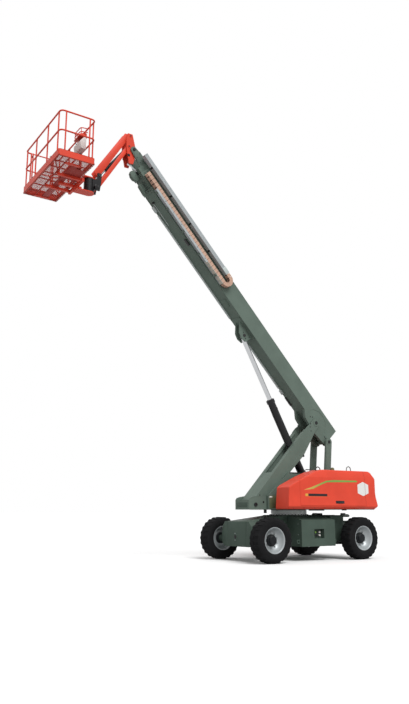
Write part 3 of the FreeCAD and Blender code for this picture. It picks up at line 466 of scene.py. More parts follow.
# ------------------------------------------------------------------ finishes
@dataclass(frozen=True)
class Finish:
    """A painted, plated, cast or moulded surface, with the unevenness that it really has."""

    name: str
    color: Triple
    roughness: float = 0.45
    metallic: float = 0.0
    specular: float = 0.15        # how strongly the surface mirrors at its own level
    coat: float = 0.0
    shade: float = 0.82           # how dark the darker patches of colour are
    patch_scale: float = 2.2
    grain_scale: float = 180.0
    grain: float = 0.02
    dust: float = 0.10
    dust_color: Triple = (0.42, 0.40, 0.36)
    streak: Triple = (1.0, 1.0, 1.0)

    def material(self) -> bpy.types.Material:
        """The node material: uneven colour, settled dust, uneven gloss and a fine grain."""
        made = bpy.data.materials.get(self.name)
        if made:
            return made
        made = bpy.data.materials.new(self.name)
        made.use_nodes = True
        tree = made.node_tree
        shader = tree.nodes["Principled BSDF"]
        shader.inputs["Metallic"].default_value = self.metallic
        shader.inputs["Specular IOR Level"].default_value = self.specular
        shader.inputs["Coat Weight"].default_value = self.coat
        shader.inputs["Coat Roughness"].default_value = 0.12
        coords = self.node(tree, "ShaderNodeTexCoord")
        stretch = self.node(tree, "ShaderNodeMapping", Scale=self.streak)
        tree.links.new(coords.outputs["Object"], stretch.inputs["Vector"])
        patches = self.noise(tree, stretch, self.patch_scale, 6.0)
        grain = self.noise(tree, stretch, self.grain_scale, 3.0)
        scuffs = self.noise(tree, stretch, self.patch_scale * 9, 8.0)
        dark = tuple(c * self.shade for c in self.color)
        tone = self.mix(tree, self.ramp(tree, patches, 0.35, 0.65), dark, self.color)
        normal = self.node(tree, "ShaderNodeNewGeometry")
        parts = self.node(tree, "ShaderNodeSeparateXYZ")
        tree.links.new(normal.outputs["Normal"], parts.inputs[0])
        upward = self.node(tree, "ShaderNodeMapRange", **{"From Min": 0.2, "From Max": 1.0,
                "To Max": self.dust})
        tree.links.new(parts.outputs["Z"], upward.inputs["Value"])
        settled = self.node(tree, "ShaderNodeMath", operation="MULTIPLY")
        tree.links.new(upward.outputs[0], settled.inputs[0])
        tree.links.new(self.ramp(tree, scuffs, 0.3, 0.75), settled.inputs[1])
        final = self.mix(tree, settled.outputs[0], None, self.dust_color, tone)
        tree.links.new(final, shader.inputs["Base Color"])
        gloss = self.node(tree, "ShaderNodeMapRange", **{"To Min": self.roughness * 0.85,
                "To Max": min(self.roughness * 1.25, 1.0)})
        tree.links.new(scuffs.outputs["Fac"], gloss.inputs["Value"])
        tree.links.new(gloss.outputs[0], shader.inputs["Roughness"])
        bump = self.node(tree, "ShaderNodeBump", Strength=self.grain, Distance=0.002)
        tree.links.new(grain.outputs["Fac"], bump.inputs["Height"])
        tree.links.new(bump.outputs[0], shader.inputs["Normal"])
        self.extend(tree, shader, coords, final)
        return made

    def extend(self, tree: Nodes, shader: Node, coords: Node,
            tone: Socket) -> None:
        """Room for what a special finish adds to the nodes.

        Args:
            tree: The material's nodes.
            shader: Its Principled shader.
            coords: Its texture coordinates.
            tone: The colour so far.
        """

    @staticmethod
    def node(tree: Nodes, kind: str, **settings: object) -> Node:
        """Adds a node. A setting is an input's value, or a property of the node.

        Args:
            tree: The material's nodes.
            kind: The node's type.
            **settings: Values of inputs or properties, by name.

        Returns:
            The new node.
        """
        made = tree.nodes.new(kind)
        for key, value in settings.items():
            if key in made.inputs:
                made.inputs[key].default_value = value
            else:
                setattr(made, key, value)
        return made

    @staticmethod
    def noise(tree: Nodes, coords: Node, scale: float,
            detail: float) -> Node:
        """A noise pattern on the given coordinates."""
        made = Finish.node(tree, "ShaderNodeTexNoise", Scale=scale, Detail=detail)
        tree.links.new(coords.outputs[0], made.inputs["Vector"])
        return made

    @staticmethod
    def ramp(tree: Nodes, source: Node, low: float,
            high: float) -> Socket:
        """Stretches a pattern's middle values over the whole range."""
        made = Finish.node(tree, "ShaderNodeMapRange", **{"From Min": low, "From Max": high})
        tree.links.new(source.outputs["Fac"], made.inputs["Value"])
        return made.outputs[0]

    @staticmethod
    def mix(tree: Nodes, factor: Socket, first: Point | None, second: Point,
            first_socket: Socket | None = None) -> Socket:
        """Mixes two colours by a factor.

        Args:
            tree: The material's nodes.
            factor: The share of the second colour.
            first: The first colour, unless a socket gives it.
            second: The second colour.
            first_socket: A socket that gives the first colour.

        Returns:
            The mixed colour.
        """
        made = tree.nodes.new("ShaderNodeMix")
        made.data_type = "RGBA"
        tree.links.new(factor, made.inputs["Factor"])
        if first_socket is not None:
            tree.links.new(first_socket, made.inputs["A"])
        else:
            made.inputs["A"].default_value = (*first, 1.0)
        made.inputs["B"].default_value = (*second, 1.0)
        return made.outputs["Result"]


@dataclass(frozen=True)
class StripeFinish(Finish):
    """A printed band whose colour runs from one end to the other."""

    start: float = -0.45
    end: float = 0.25
    start_color: Triple = (0.80, 0.42, 0.10)

    def extend(self, tree: Nodes, shader: Node, coords: Node,
            tone: Socket) -> None:
        """Blends the first colour in from the band's front end."""
        parts = self.node(tree, "ShaderNodeSeparateXYZ")
        tree.links.new(coords.outputs["Object"], parts.inputs[0])
        along = self.node(tree, "ShaderNodeMapRange", **{"From Min": self.start, "From Max": self.end,
                "To Min": 1.0, "To Max": 0.0})
        tree.links.new(parts.outputs["Y"], along.inputs["Value"])
        tree.links.new(self.mix(tree, along.outputs[0], None, self.start_color, tone),
                shader.inputs["Base Color"])


GREEN = Finish("green_paint", (0.132, 0.176, 0.147), 0.5, shade=0.86)
# Painted shade: a darker copy of the frame green that stands in for the shade low under the cowls and on
# the front faces.
SHADED_GREEN = Finish("deep_green_paint", (0.070, 0.102, 0.082), 0.5, shade=0.86)
ORANGE = Finish("orange_enamel", (0.76, 0.068, 0.034), 0.42, specular=0.22, shade=0.90, dust=0.05)
BLACK = Finish("black_enamel", (0.012, 0.012, 0.013), 0.35, specular=0.25)
RUBBER = Finish("rubber_black", (0.013, 0.013, 0.014), 0.8, specular=0.10, shade=0.7, grain=0.35, dust=0.01)
RIM = Finish("rim_silver", (0.42, 0.45, 0.46), 0.38, metallic=0.45, specular=0.4, shade=0.85, dust=0.05)
HUB = Finish("hub_black", (0.010, 0.012, 0.014), 0.45)
CHROME = Finish("chrome", (0.50, 0.51, 0.52), 0.18, metallic=1.0, shade=0.95, dust=0.0, grain=0.01)
SILVER = Finish("galvanised_steel", (0.44, 0.47, 0.485), 0.5, shade=0.93, patch_scale=7.0)
CHAIN = Finish("chain_links", (0.62, 0.40, 0.30), 0.6, shade=0.85, patch_scale=6.0)
CHAIN_PALE = Finish("chain_slats", (0.60, 0.56, 0.47), 0.6, shade=0.85, patch_scale=6.0)
BOLT = Finish("bolt_steel", (0.05, 0.05, 0.05), 0.45, metallic=0.5)
HOSE = Finish("hose_rubber", (0.015, 0.015, 0.016), 0.55, grain=0.2)
CAST = Finish("cast_iron", (0.055, 0.075, 0.062), 0.7, shade=0.7, grain=0.5, grain_scale=90.0)
PLASTIC = Finish("pale_plastic", (0.78, 0.73, 0.70), 0.5, shade=0.93)
# Dark plastic for the console's face and the plate on the stripe; the same colour paints the shade inside
# the rear slots and the knuckle's holes.
DARK_PLASTIC_AND_SHADE = Finish("dark_plastic", (0.02, 0.02, 0.022), 0.4)
LAMP = Finish("lamp_glass", (0.82, 0.81, 0.76), 0.2, specular=0.4, shade=0.97, dust=0.0)
RED_SHADE = Finish("floor_red", (0.50, 0.060, 0.040), 0.5, shade=0.85)
MAROON = Finish("beam_red", (0.40, 0.055, 0.045), 0.5, shade=0.85)
STRIPE = StripeFinish("stripe_print", (0.22, 0.40, 0.085), 0.4, shade=0.92)
STRIPE_RIGHT = StripeFinish("stripe_print_right", (0.22, 0.40, 0.085), 0.4, shade=0.92, start=0.0, end=0.70)
STRIPE_PLAIN = Finish("plain_green", (0.22, 0.40, 0.085), 0.4, shade=0.92)
AMBER = Finish("plain_amber", (0.72, 0.40, 0.07), 0.4, shade=0.94)
PALE = Finish("plain_pale", (0.80, 0.80, 0.78), 0.4, shade=0.95)
PALE_STEEL = Finish("pale_steel", (0.50, 0.55, 0.54), 0.5, metallic=0.1, shade=0.92, patch_scale=6.0)
# Plated steel with painted light: near-white so that the ring reads bright though it sits in the shade
# under the cowls.
PLATED_AND_LIT = Finish("plated_ring", (0.95, 0.98, 0.97), 0.4, specular=0.4, shade=0.93, dust=0.0)
GREY_STEEL = Finish("grey_steel", (0.26, 0.29, 0.28), 0.5, shade=0.88, patch_scale=6.0)
OLIVE = Finish("olive_cap", (0.16, 0.17, 0.09), 0.5, shade=0.85)
STOP_RED = Finish("stop_red", (0.62, 0.02, 0.02), 0.35, shade=0.95)

SLOT_FINISH = {"frame_paint": GREEN, "orange_paint": ORANGE, "black_paint": BLACK, "tyre_rubber": RUBBER,
        "rim_paint": RIM, "chrome_rod": CHROME, "bare_steel": SILVER, "console_plastic": PLASTIC,
        "chain_plastic": CHAIN, "cast_weight": CAST}
# The chassis, axles and knuckles take the darker green as painted shade; the slewing ring takes the
# near-white that paints light on it.
NODE_FINISH = {"slew_ring": PLATED_AND_LIT, **dict.fromkeys(("chassis_frame", "front_axle", "rear_axle",
        "knuckle_left", "knuckle_right"), SHADED_GREEN)}


class Workshop:
    """Keeps the frame and puts each finished piece on its body."""

    def __init__(self, frame: dict) -> None:
        """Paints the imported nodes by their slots.

        Args:
            frame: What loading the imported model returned.
        """
        self.frame = frame
        self.count = 0
        for row in frame["record"]["subparts"]:
            self.paint(frame["nodes"][row["node"]], NODE_FINISH.get(row["node"],
                    SLOT_FINISH[row["material_slot"]]))

    @staticmethod
    def paint(obj: Piece, finish: Finish) -> None:
        """Gives the object one finish all over."""
        obj.data.materials.clear()
        obj.data.materials.append(finish.material())

    def add(self, obj: Piece, body: str, finish: Finish, slot: str,
            replaces: Sequence[str] = ()) -> Piece:
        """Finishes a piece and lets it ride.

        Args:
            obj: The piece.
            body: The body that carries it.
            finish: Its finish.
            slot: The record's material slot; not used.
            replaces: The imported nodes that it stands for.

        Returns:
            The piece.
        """
        self.paint(obj, finish)
        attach(obj, body)
        if replaces:
            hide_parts(*replaces)
        self.count += 1
        LOG.info("%s rides on %s", obj.name, body)
        return obj

    def cap(self, name: str, side: Side, face: float, steps: Sequence[Point], pin: Point, body: str,
            finish: Finish, slot: str, faces: int = 32) -> None:
        """Turns a cap, ring or boss on a face across the machine, and lets it ride.

        Args:
            name: Its name without the side.
            side: The side of the machine.
            face: The face's distance from the middle.
            steps: (distance out from the face, radius) corners.
            pin: The Y and Z of its axis.
            body: The body that carries it.
            finish: Its finish.
            slot: The record's material slot, handed on to add, which does not use it.
            faces: Faces round it.
        """
        outline = [(side.value * (face + out), radius) for out, radius in steps]
        self.add(Bench.turned(f"{name}_{side.label}", outline, (0, *pin), Axis.X, faces), body, finish,
                slot)


# ------------------------------------------------------------------ wheels
@dataclass
class Wheel:
    """A tyre with two rows of lugs, its rim and hub: modelled at one corner and set at all four."""

    centre: Triple = (1.07, -1.48, 0.535)
    half_width: float = 0.185
    tread_radius: float = 0.521
    tip_radius: float = 0.5325
    lugs: int = 24
    nuts: int = 10
    nut_ring: float = 0.178

    def build(self, shop: Workshop) -> None:
        """Models the pieces once and puts a copy on each wheel."""
        pieces = [(self.tyre(), "tyre", RUBBER, "tyre_rubber", "tyre"), (self.rim(), "rim", RIM,
                "rim_paint", "rim"), (self.hub(), "hub", HUB, "black_paint", None), (self.nut_set(), "nuts",
                RIM, "bare_steel", None)]
        for end, forward in (("front", 0.0), ("rear", -2 * self.centre[1])):
            for side in Side:
                place = side_matrix(side) @ Matrix.Translation((0, forward, 0))
                for model, name, finish, slot, node in pieces:
                    spot = f"{end}_{side.label}"
                    twin = Bench.copy(model, f"{name}_look_{spot}", place)
                    shop.add(twin, f"wheel_{spot}", finish, slot, [f"{node}_{spot}"] if node else [])
        for model, *_ in pieces:
            bpy.data.objects.remove(model)

    def tyre(self) -> Piece:
        """The casing with its bulged sides, and the lugs round it."""
        w, r = self.half_width, self.tread_radius
        half = [(w - .037, .300), (w - .027, .312), (w - .020, .330), (w - .007, .360), (w - .001, .392),
                (w - .001, .428), (w - .004, .432), (w - .004, .438), (w - .002, .442), (w - .005, .462),
                (w - .014, .487), (w - .028, r - .013), (w - .056, r - .004), (0.0, r)]
        outline = half + [(-along, radius) for along, radius in reversed(half[:-1])]
        casing = Bench.turned("casing", outline, self.centre, steps=72)
        lug = self.lug()
        inner = Bench.copy(lug, "inner_lug", Matrix.Translation((2 * self.centre[0], 0, 0)) @ MIRROR)
        pitch = 2 * math.pi / self.lugs
        parts = [casing]
        for start, model in ((0.0, lug), (pitch / 2, inner)):
            parts += [Bench.copy(model, "lug", turn_about(self.centre, start + pitch * k, Axis.X))
                    for k in range(self.lugs)]
            bpy.data.objects.remove(model)
        return Bench.smooth(Bench.join("tyre", parts), math.radians(28))

    def lug(self) -> Piece:
        """One lug at the wheel's top: swept back towards the shoulder and bevelled there."""
        x, y, z = self.centre
        outline = [(.008, -.030), (.008, .026), (.10, .036), (.168, .036), (.168, -.024), (.105, -.030)]
        lug = Bench.plate("outer_lug", [(x + a, y + b) for a, b in outline], Axis.Z, z + .480,
                z + self.tip_radius)
        Bench.slice(lug, (x + .168, y, z + .506), (.060, 0, .058))
        return Bench.soften(lug, .004, 1)

    def rim(self) -> Piece:
        """The dished disc and the band, spun as one."""
        outline = [(.160, .308), (.160, .296), (.150, .286), (.125, .276), (.060, .236), (.010, .190),
                (0, .165), (0, .10), (-.018, .10), (-.018, .165), (-.010, .20), (.035, .245), (.040, .268),
                (-.125, .268), (-.150, .280), (-.160, .292), (-.160, .308), (-.148, .308), (-.140, .296),
                (.140, .296), (.148, .308)]
        return Bench.turned("rim", outline, self.centre, steps=64)

    def hub(self) -> Piece:
        """The planetary hub, with its stepped cap and its plugs."""
        x, y, z = self.centre
        outline = [(-.060, 0), (-.060, .140), (.034, .143), (.050, .134), (.058, .112), (.092, .108),
                (.104, .096), (.106, 0)]
        parts = [Bench.turned("hub_body", outline, self.centre, steps=40)]
        for k in range(3):
            at = turn_about(self.centre, math.tau * k / 3, Axis.X) @ Vector((x + .10, y, z + .055))
            parts.append(Bench.rod("plug", at, at + Vector((.012, 0, 0)), .012, 6))
        return Bench.join("hub", parts)

    def nut_set(self) -> Piece:
        """The wheel nuts, each a hexagon on a washer with its stud."""
        x, y, z = self.centre
        steps = [(0.0, .0, .022), (.004, .004, .017), (.004, .030, .0165), (.030, .042, .009)]
        bits = [Bench.rod("nut_step", (x + low, y, z + self.nut_ring), (x + high + .002, y,
                z + self.nut_ring), radius, 6 if radius == .0165 else 12) for low, high, radius in steps]
        nut = Bench.join("nut", bits)
        parts = [Bench.copy(nut, "nut", turn_about(self.centre, math.tau * k / self.nuts, Axis.X))
                for k in range(self.nuts)]
        bpy.data.objects.remove(nut)
        return Bench.join("nuts", parts)


# ------------------------------------------------------------------ chassis
@dataclass
class Chassis:
    """What is fitted to the chassis box and the axles."""

    front_y: float = -1.712
    deck_z: float = 1.12
    side_x: float = 1.0

    # Most pieces here take the darker green, which paints the shade that falls low under the cowls.
    def build(self, shop: Workshop) -> None:
        """Builds the axle housings, the deck's stops and the small fittings."""
        self.front_beam(shop)
        self.rear_housing(shop)
        self.side_recess(shop)
        self.deck_fittings(shop)
        self.steering_covers(shop)

    def front_beam(self, shop: Workshop) -> None:
        """The barrel-shaped front axle housing, its pin and its cover plate."""
        half = [(.50, .968), (.60, .86), (.64, .66), (.62, .44), (.54, .36)]
        outline = half + [(-x, z) for x, z in reversed(half)]
        beam = Bench.plate("front_beam", outline, Axis.Y, self.front_y, -1.42)
        for x in (-.40, .40):
            groove = Bench.rod("groove", (x, self.front_y - .030, .30), (x, self.front_y - .030, 1.0), .045,
                    24)
            Bench.cut(beam, groove)
        Bench.soften(beam, .030, 3, math.radians(20))
        shop.add(beam, "chassis", SHADED_GREEN, "frame_paint")
        slope = [(-1.70, .930), (-1.68, .966), (-.445, 1.112), (-.445, 1.02), (-1.42, .90)]
        top = Bench.plate("front_top_plate", slope, Axis.X, -.47, .47, .006)
        shop.add(top, "chassis", SHADED_GREEN, "frame_paint")
        ring = Bench.turned("axle_pin", [(-.016, 0), (-.016, .036), (-.010, .045), (.02, .047), (.02, 0)],
                (-.05, self.front_y, .59), Axis.Y, 32)
        shop.add(ring, "chassis", BLACK, "black_paint")
        collar = Bench.turned("axle_pin_collar", [(-.007, .05), (-.007, .082), (.004, .086), (.004, .05)],
                (-.05, self.front_y, .59), Axis.Y, 32)
        shop.add(collar, "chassis", SHADED_GREEN, "frame_paint")
        bolts = [Bench.rod("bolt", (x, self.front_y + .01, z), (x, self.front_y - .010, z), .012, 6, .002)
                for x, z in ((-.06, .67), (-.06, .51))]
        shop.add(Bench.join("axle_pin_bolts", bolts), "chassis", SILVER, "bare_steel")

    def rear_housing(self, shop: Workshop) -> None:
        """The rear axle's rounded housing and its ribs."""
        housing = Bench.block("rear_housing", (-.66, .86, .43), (.66, 1.36, 1.115), .05, 4)
        shop.add(housing, "chassis", SHADED_GREEN, "frame_paint")
        ribs = [Bench.block("rib", (x - .012, .85, .46), (x + .012, 1.362, 1.120), .005) for x in (-.30,
                .30)]
        shop.add(Bench.join("rear_ribs", ribs), "chassis", SHADED_GREEN, "frame_paint")
        for side in Side:
            x = side.value
            drum = Bench.turned(f"drive_housing_{side.label}", [(x * .60, 0), (x * .60, .15),
                    (x * .64, .185), (x * .80, .19), (x * .86, .15), (x * .86, 0)], (0, 1.48, .535), Axis.X,
                    40)
            shop.add(drum, "chassis", SHADED_GREEN, "frame_paint")
            low = [(x * .70, .90, .50), (x * .74, 1.05, .42), (x * .74, 1.20, .40), (x * .72, 1.34, .46)]
            shop.add(Bench.pipe(f"drive_hose_{side.label}", low, .022, bend=.08), "chassis", HOSE,
                    "black_paint")

    def side_recess(self, shop: Workshop) -> None:
        """The plug sockets in the recess, and the cover plates on the box's sides."""
        x = self.side_x
        frame = Bench.plate("recess_frame", [(-.045, .53), (.335, .53), (.335, .79), (-.045, .79)], Axis.X,
                x - .006, x - .0005)
        Bench.cut(frame, Bench.block("recess_gap", (x - .05, -.02, .546), (x + .05, .31, .776)))
        shop.add(frame, "chassis", SHADED_GREEN, "frame_paint")
        sockets = {"green": (STRIPE_PLAIN, [(.086, .697)]), "white": (PLASTIC, [(.225, .697),
                (.225, .618)]), "dark": (BLACK, [(.155, .697), (.155, .618), (.086, .618)])}
        for name, (finish, places) in sockets.items():
            parts = [Bench.turned("socket", [(x - .12, 0), (x - .12, .026), (x - .07, .024),
                    (x - .066, .019), (x - .066, 0)], (0, y, z), Axis.X, 20) for y, z in places]
            shop.add(Bench.join(f"sockets_{name}", parts), "chassis", finish, "black_paint")
        bolts = [Bench.rod("bolt", (bx, -.438, bz), (bx, -.452, bz), .011, 6, .002) for bx in (.87, -.87)
                for bz in (.64, .90)]
        shop.add(Bench.join("front_bolts", bolts), "chassis", GREY_STEEL, "bare_steel")
        for side in Side:
            s = side.value
            outline = [(.40, .60), (.64, .60), (.64, .90), (.40, .90)]
            cover = Bench.plate(f"side_cover_{side.label}", outline, Axis.X, s * (x - .004),
                    s * (x - .0002), soft=.002)
            shop.add(cover, "chassis", SHADED_GREEN, "frame_paint")

    def deck_fittings(self, shop: Workshop) -> None:
        """The stops and castings on the deck, and the slewing ring's bolts."""
        z = self.deck_z
        for side in Side:
            s = side.value
            stops = [Bench.block("stop", (s * .50, y0, z - .004), (s * .62, y1, z + .045), .008)
                    for y0, y1 in ((.54, .63), (1.385, 1.465))]
            shop.add(Bench.join(f"deck_stops_{side.label}", stops), "chassis", BLACK, "black_paint")
            cast = Bench.plate(f"deck_cast_{side.label}", [(1.34, z - .06), (1.58, z - .06),
                    (1.60, z - .01), (1.54, z + .02), (1.38, z + .02)], Axis.X, s * .50, s * .64, soft=.012)
            shop.add(cast, "chassis", GREY_STEEL, "frame_paint")
        bolts = []
        for k in range(36):
            angle = math.tau * k / 36
            at = Vector((.50 * math.cos(angle), .50 * math.sin(angle), z - .002))
            bolts.append(Bench.rod("ring_bolt", at, at + Vector((0, 0, .020)), .013, 6))
        shop.add(Bench.join("ring_bolts", bolts), "chassis", BOLT, "bare_steel")

    def steering_covers(self, shop: Workshop) -> None:
        """Plates over the kingpins, and the steering hoses."""
        for side in Side:
            s = side.value
            cap = Bench.turned(f"kingpin_cap_{side.label}", [(.868, 0), (.868, .085), (.880, .085),
                    (.886, .07), (.905, .062), (.905, 0)], (s * .75, -1.48, 0), Axis.Z, 32)
            shop.add(cap, "chassis", SHADED_GREEN, "frame_paint")
            hose = Bench.pipe(f"steer_hose_{side.label}", [(s * .16, -1.26, .50), (s * .20, -1.22, .56),
                    (s * .34, -1.21, .60), (s * .40, -1.26, .66)], .012, bend=.05)
            shop.add(hose, "chassis", HOSE, "black_paint")


# ------------------------------------------------------------------ cowls
@dataclass
class Cowl:
    """One of the two cowls beside the linkage: a rounded shell with a hood that opens in it."""

    side: Side
    shorter: float = 0.0
    inner_x: float = .62
    side_x: float = 1.125
    sill_x: float = 1.15
    skirt_x: float = 1.09
    bottom: float = 1.255
    sill: float = 1.33
    flare: float = 1.59
    crease: float = 2.06
    top: float = 2.262
    shoulder_in: float = .065
    wall: float = .008
    hood_low: Triple = (.76, -.56, 1.352)
    hood_rear: float = 1.72
    gap: float = .006

    def build(self, shop: Workshop) -> None:
        """Builds the shell, cuts the hood out of it and fits the trim."""
        self.place = side_matrix(self.side)
        shell = self.shell()
        hood = Bench.copy(shell, "hood", Matrix.Identity(4))
        Bench.cut(hood, self.hood_box(0.0), operation="INTERSECT")
        Bench.cut(shell, self.hood_box(self.gap))
        for form in (shell, hood):
            Bench.modify(form, "WEIGHTED_NORMAL", keep_sharp=True)
        self.fit(shop, shell, "cowl", False, ORANGE, "orange_paint", True)
        self.fit(shop, hood, "hood", True, ORANGE, "orange_paint", True)
        seal = self.solid(.0015, .053)
        Bench.cut(seal, self.solid(.030, .030))
        gap = Bench.block("seal_gap", (.70, self.hood_rear + .0005, 1.40),
                (1.3, self.hood_rear + self.gap - .0005, 3))
        Bench.cut(seal, gap, operation="INTERSECT")
        self.fit(shop, seal, "hood_seal", False, BLACK, "black_paint")
        self.trim(shop)

    def fit(self, shop: Workshop, obj: Piece, name: str, on_hood: bool, finish: Finish,
            slot: str, replaces: bool = False) -> None:
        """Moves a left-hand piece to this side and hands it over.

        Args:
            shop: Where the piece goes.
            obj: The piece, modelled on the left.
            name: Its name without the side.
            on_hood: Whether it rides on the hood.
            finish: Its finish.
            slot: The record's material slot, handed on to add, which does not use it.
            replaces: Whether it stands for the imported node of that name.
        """
        Bench.moved(obj, self.place)
        label = self.side.label
        obj.name = obj.data.name = f"{name}_look_{label}"
        body = f"hood_{label}" if on_hood else "turntable"
        shop.add(obj, body, finish, slot, [f"{name}_{label}"] if replaces else [])

    def outline(self, inset: float) -> list[tuple[float, float]]:
        """The cowl's YZ outline, moved inwards by an inset."""
        front, top = -.95 + self.shorter + inset, self.top - inset
        return [(front + .005, self.bottom), (front, self.sill), (front + .05, 1.80 - inset / 2),
                (front + .15, 1.865 - inset), (front + .65, 2.087 - inset), (front + .97, 2.205 - inset),
                (front + 1.23, top), (1.93 - inset / 2, top), (2.0 - inset, top - .027), (2.115 - inset,
                self.crease), (2.11 - inset, 1.70), (2.125 - inset, 1.59), (2.17 - inset, 1.35),
                (2.07 - inset, self.bottom)]

    def section(self, inset: float) -> list[tuple[float, float]]:
        """The cowl's XZ outline, moved inwards by an inset."""
        inner, outer, side = self.inner_x + inset, self.sill_x - inset, self.side_x - inset
        return [(inner, self.bottom), (self.skirt_x - inset, self.bottom), (outer, self.sill),
                (side, self.flare), (side, self.crease), (side - self.shoulder_in, self.top - inset),
                (inner, self.top - inset)]

    def solid(self, inset: float, soft: float) -> Piece:
        """The cowl's whole form: the two outlines' common space, its edges rounded.

        Args:
            inset: How far it lies inside the outer face.
            soft: The edges' radius.

        Returns:
            A closed solid.
        """
        form = Bench.plate("cowl_form", self.outline(inset), Axis.X, 0, 1.2)
        across = Bench.plate("cowl_across", self.section(inset), Axis.Y, -2, 3)
        Bench.cut(form, across, operation="INTERSECT")
        return Bench.soften(form, soft, 4, math.radians(24))

    def shell(self) -> Piece:
        """The form hollowed out and opened below."""
        shell = self.solid(0.0, .055)
        Bench.cut(shell, self.solid(self.wall, .049))
        front = -.95 + self.shorter
        below = Bench.block("below", (self.inner_x + self.wall, front + .014, self.bottom - .05),
                (self.skirt_x - self.wall, 2.06, self.sill))
        Bench.cut(shell, below)
        seat = Bench.block("seat", (0, -.90, 0), (self.inner_x + self.wall + .001, 2.06, 1.29))
        return Bench.smooth(Bench.cut(shell, seat))

    def hood_box(self, gap: float) -> Piece:
        """The space of the hood's panel, widened by a gap."""
        x, y, z = self.hood_low
        return Bench.block("hood_box", (x - gap, y + self.shorter - gap, z - gap),
                (1.3, self.hood_rear + gap, 2.4))

    def on_side(self, z: float) -> float:
        """The X of the cowl's side face at a height."""
        if z >= self.flare:
            return self.side_x
        return self.side_x + (self.sill_x - self.side_x) * (self.flare - z) / (self.flare - self.sill - .02)

    def trim(self, shop: Workshop) -> None:
        """The stripe, handle, hinges, top fittings, vents and what is fitted to the skirt."""
        self.stripe(shop)
        self.handle(shop)
        self.hinges(shop)
        self.top_fittings(shop)
        self.vents(shop)
        self.edges(shop)

    def stripe(self, shop: Workshop) -> None:
        """The printed band along the side and the plain plates beside it."""
        x, back = self.side_x, self.shorter
        band = [(-.44 + back, 1.737), (-.33 + back, 1.742), (-.121 + back, 1.764), (.12 + back / 2, 1.862),
                (.359 + back / 3, 1.940), (1.011, 1.954), (1.445, 1.964), (1.406, 2.003), (.60 + back / 3,
                2.001), (.335 + back / 3, 1.978), (-.196 + back, 1.804)]
        stripe = Bench.plate("stripe", band, Axis.X, x - .001, x + .0012)
        finish = STRIPE if self.side is Side.LEFT else STRIPE_RIGHT
        self.fit(shop, stripe, "stripe", True, finish, "orange_paint")
        bars = {"plate": (-.29, .35, 1.585, 1.645, DARK_PLASTIC_AND_SHADE), "line": (-.40, .45, 1.558, 1.578, finish),
                "front": (-.39, -.30, 1.585, 1.645, AMBER)}
        for name, (y0, y1, z0, z1, colour) in bars.items():
            plate = Bench.block(f"bar_{name}", (x - .001, y0 + back, z0), (x + .0014, y1 + back, z1), .0006,
                    1)
            self.fit(shop, plate, f"plain_bar_{name}", True, colour, "orange_paint")
        badge = [(1.445, 1.68), (1.645, 1.605), (1.845, 1.68), (1.845, 1.90), (1.645, 1.975), (1.445, 1.90)]
        badge = Bench.plate("badge", badge, Axis.X, x - .001, x + .0014)
        rest = Bench.copy(badge, "badge_rest", Matrix.Identity(4))
        Bench.slice(badge, (x, self.hood_rear - .004, 0), (0, 1, 0))
        Bench.slice(rest, (x, self.hood_rear + self.gap + .001, 0), (0, -1, 0))
        self.fit(shop, badge, "plain_badge", True, PALE, "orange_paint")
        self.fit(shop, rest, "plain_badge_rest", False, PALE, "orange_paint")

    def handle(self, shop: Workshop) -> None:
        """The latch recess with its handle."""
        z0, z1 = 1.386, 1.476
        x = self.on_side(z1)
        recess = Bench.plate("handle_recess", [(.627, z0), (.93, z0), (.93, z1), (.627, z1)], Axis.X,
                x - .002, x + .006, .004)
        self.fit(shop, recess, "handle_recess", True, BLACK, "black_paint")
        grip = Bench.pipe("handle_grip", [(x, .70, 1.43), (x + .022, .71, 1.428), (x + .022, .86, 1.428),
                (x, .87, 1.43)], .009, bend=.012)
        self.fit(shop, grip, "handle_grip", True, BOLT, "bare_steel")

    def hinges(self, shop: Workshop) -> None:
        """Barrels and leaves on the top, half on the shell and half on the hood."""
        x, z, length = self.hood_low[0], self.top + .004, .09
        for on_hood, lean in ((False, -1), (True, 1)):
            parts = []
            for start in (self.hood_low[1] + self.shorter + .54, self.hood_rear - .42):
                y = start + (length + .0003 if on_hood else 0)
                parts.append(Bench.rod("barrel", (x, y, z), (x, y + length, z), .012, 16))
                parts.append(Bench.block("leaf", (x, y + .004, z - .008), (x + lean * .06,
                        y + length - .004, z), .002, 1))
                for across in (.03, .047):
                    spot = (x + lean * across, y + .045, z - .002)
                    parts.append(Bench.rod("screw", spot, (spot[0], spot[1], z + .004), .006, 8))
            self.fit(shop, Bench.join("hinge", parts), "hinge_hood" if on_hood else "hinge_shell", on_hood,
                    BLACK, "black_paint")

    def top_fittings(self, shop: Workshop) -> None:
        """The lifting eye at the rear and the filler's knob."""
        eye = Bench.pipe("lifting_eye", [(.90, 1.28, self.top - .01), (.90, 1.30, self.top + .09),
                (.90, 1.365, self.top + .125), (.90, 1.43, self.top + .09), (.90, 1.45, self.top - .01)],
                .013, bend=.03)
        foot = Bench.block("foot", (.87, 1.26, self.top - .006), (.93, 1.47, self.top + .006), .003, 1)
        eye = Bench.join("lifting_eye", [eye, foot])
        front = Bench.copy(eye, "front_eye", Matrix.Translation((0, -1.10 + self.shorter / 2, -.045)))
        self.fit(shop, eye, "lifting_eye", True, GREY_STEEL, "bare_steel")
        self.fit(shop, front, "front_eye", True, BOLT, "bare_steel")
        knob = Bench.turned("knob", [(self.top - .006, 0), (self.top - .006, .055), (self.top + .030, .055),
                (self.top + .060, .046), (self.top + .074, .026), (self.top + .074, 0)], (.90, .775, 0),
                Axis.Z, 28)
        self.fit(shop, knob, "filler_knob", True, OLIVE, "frame_paint")

    def vents(self, shop: Workshop) -> None:
        """Dark strips on the rear face that paint the shade inside its slots."""
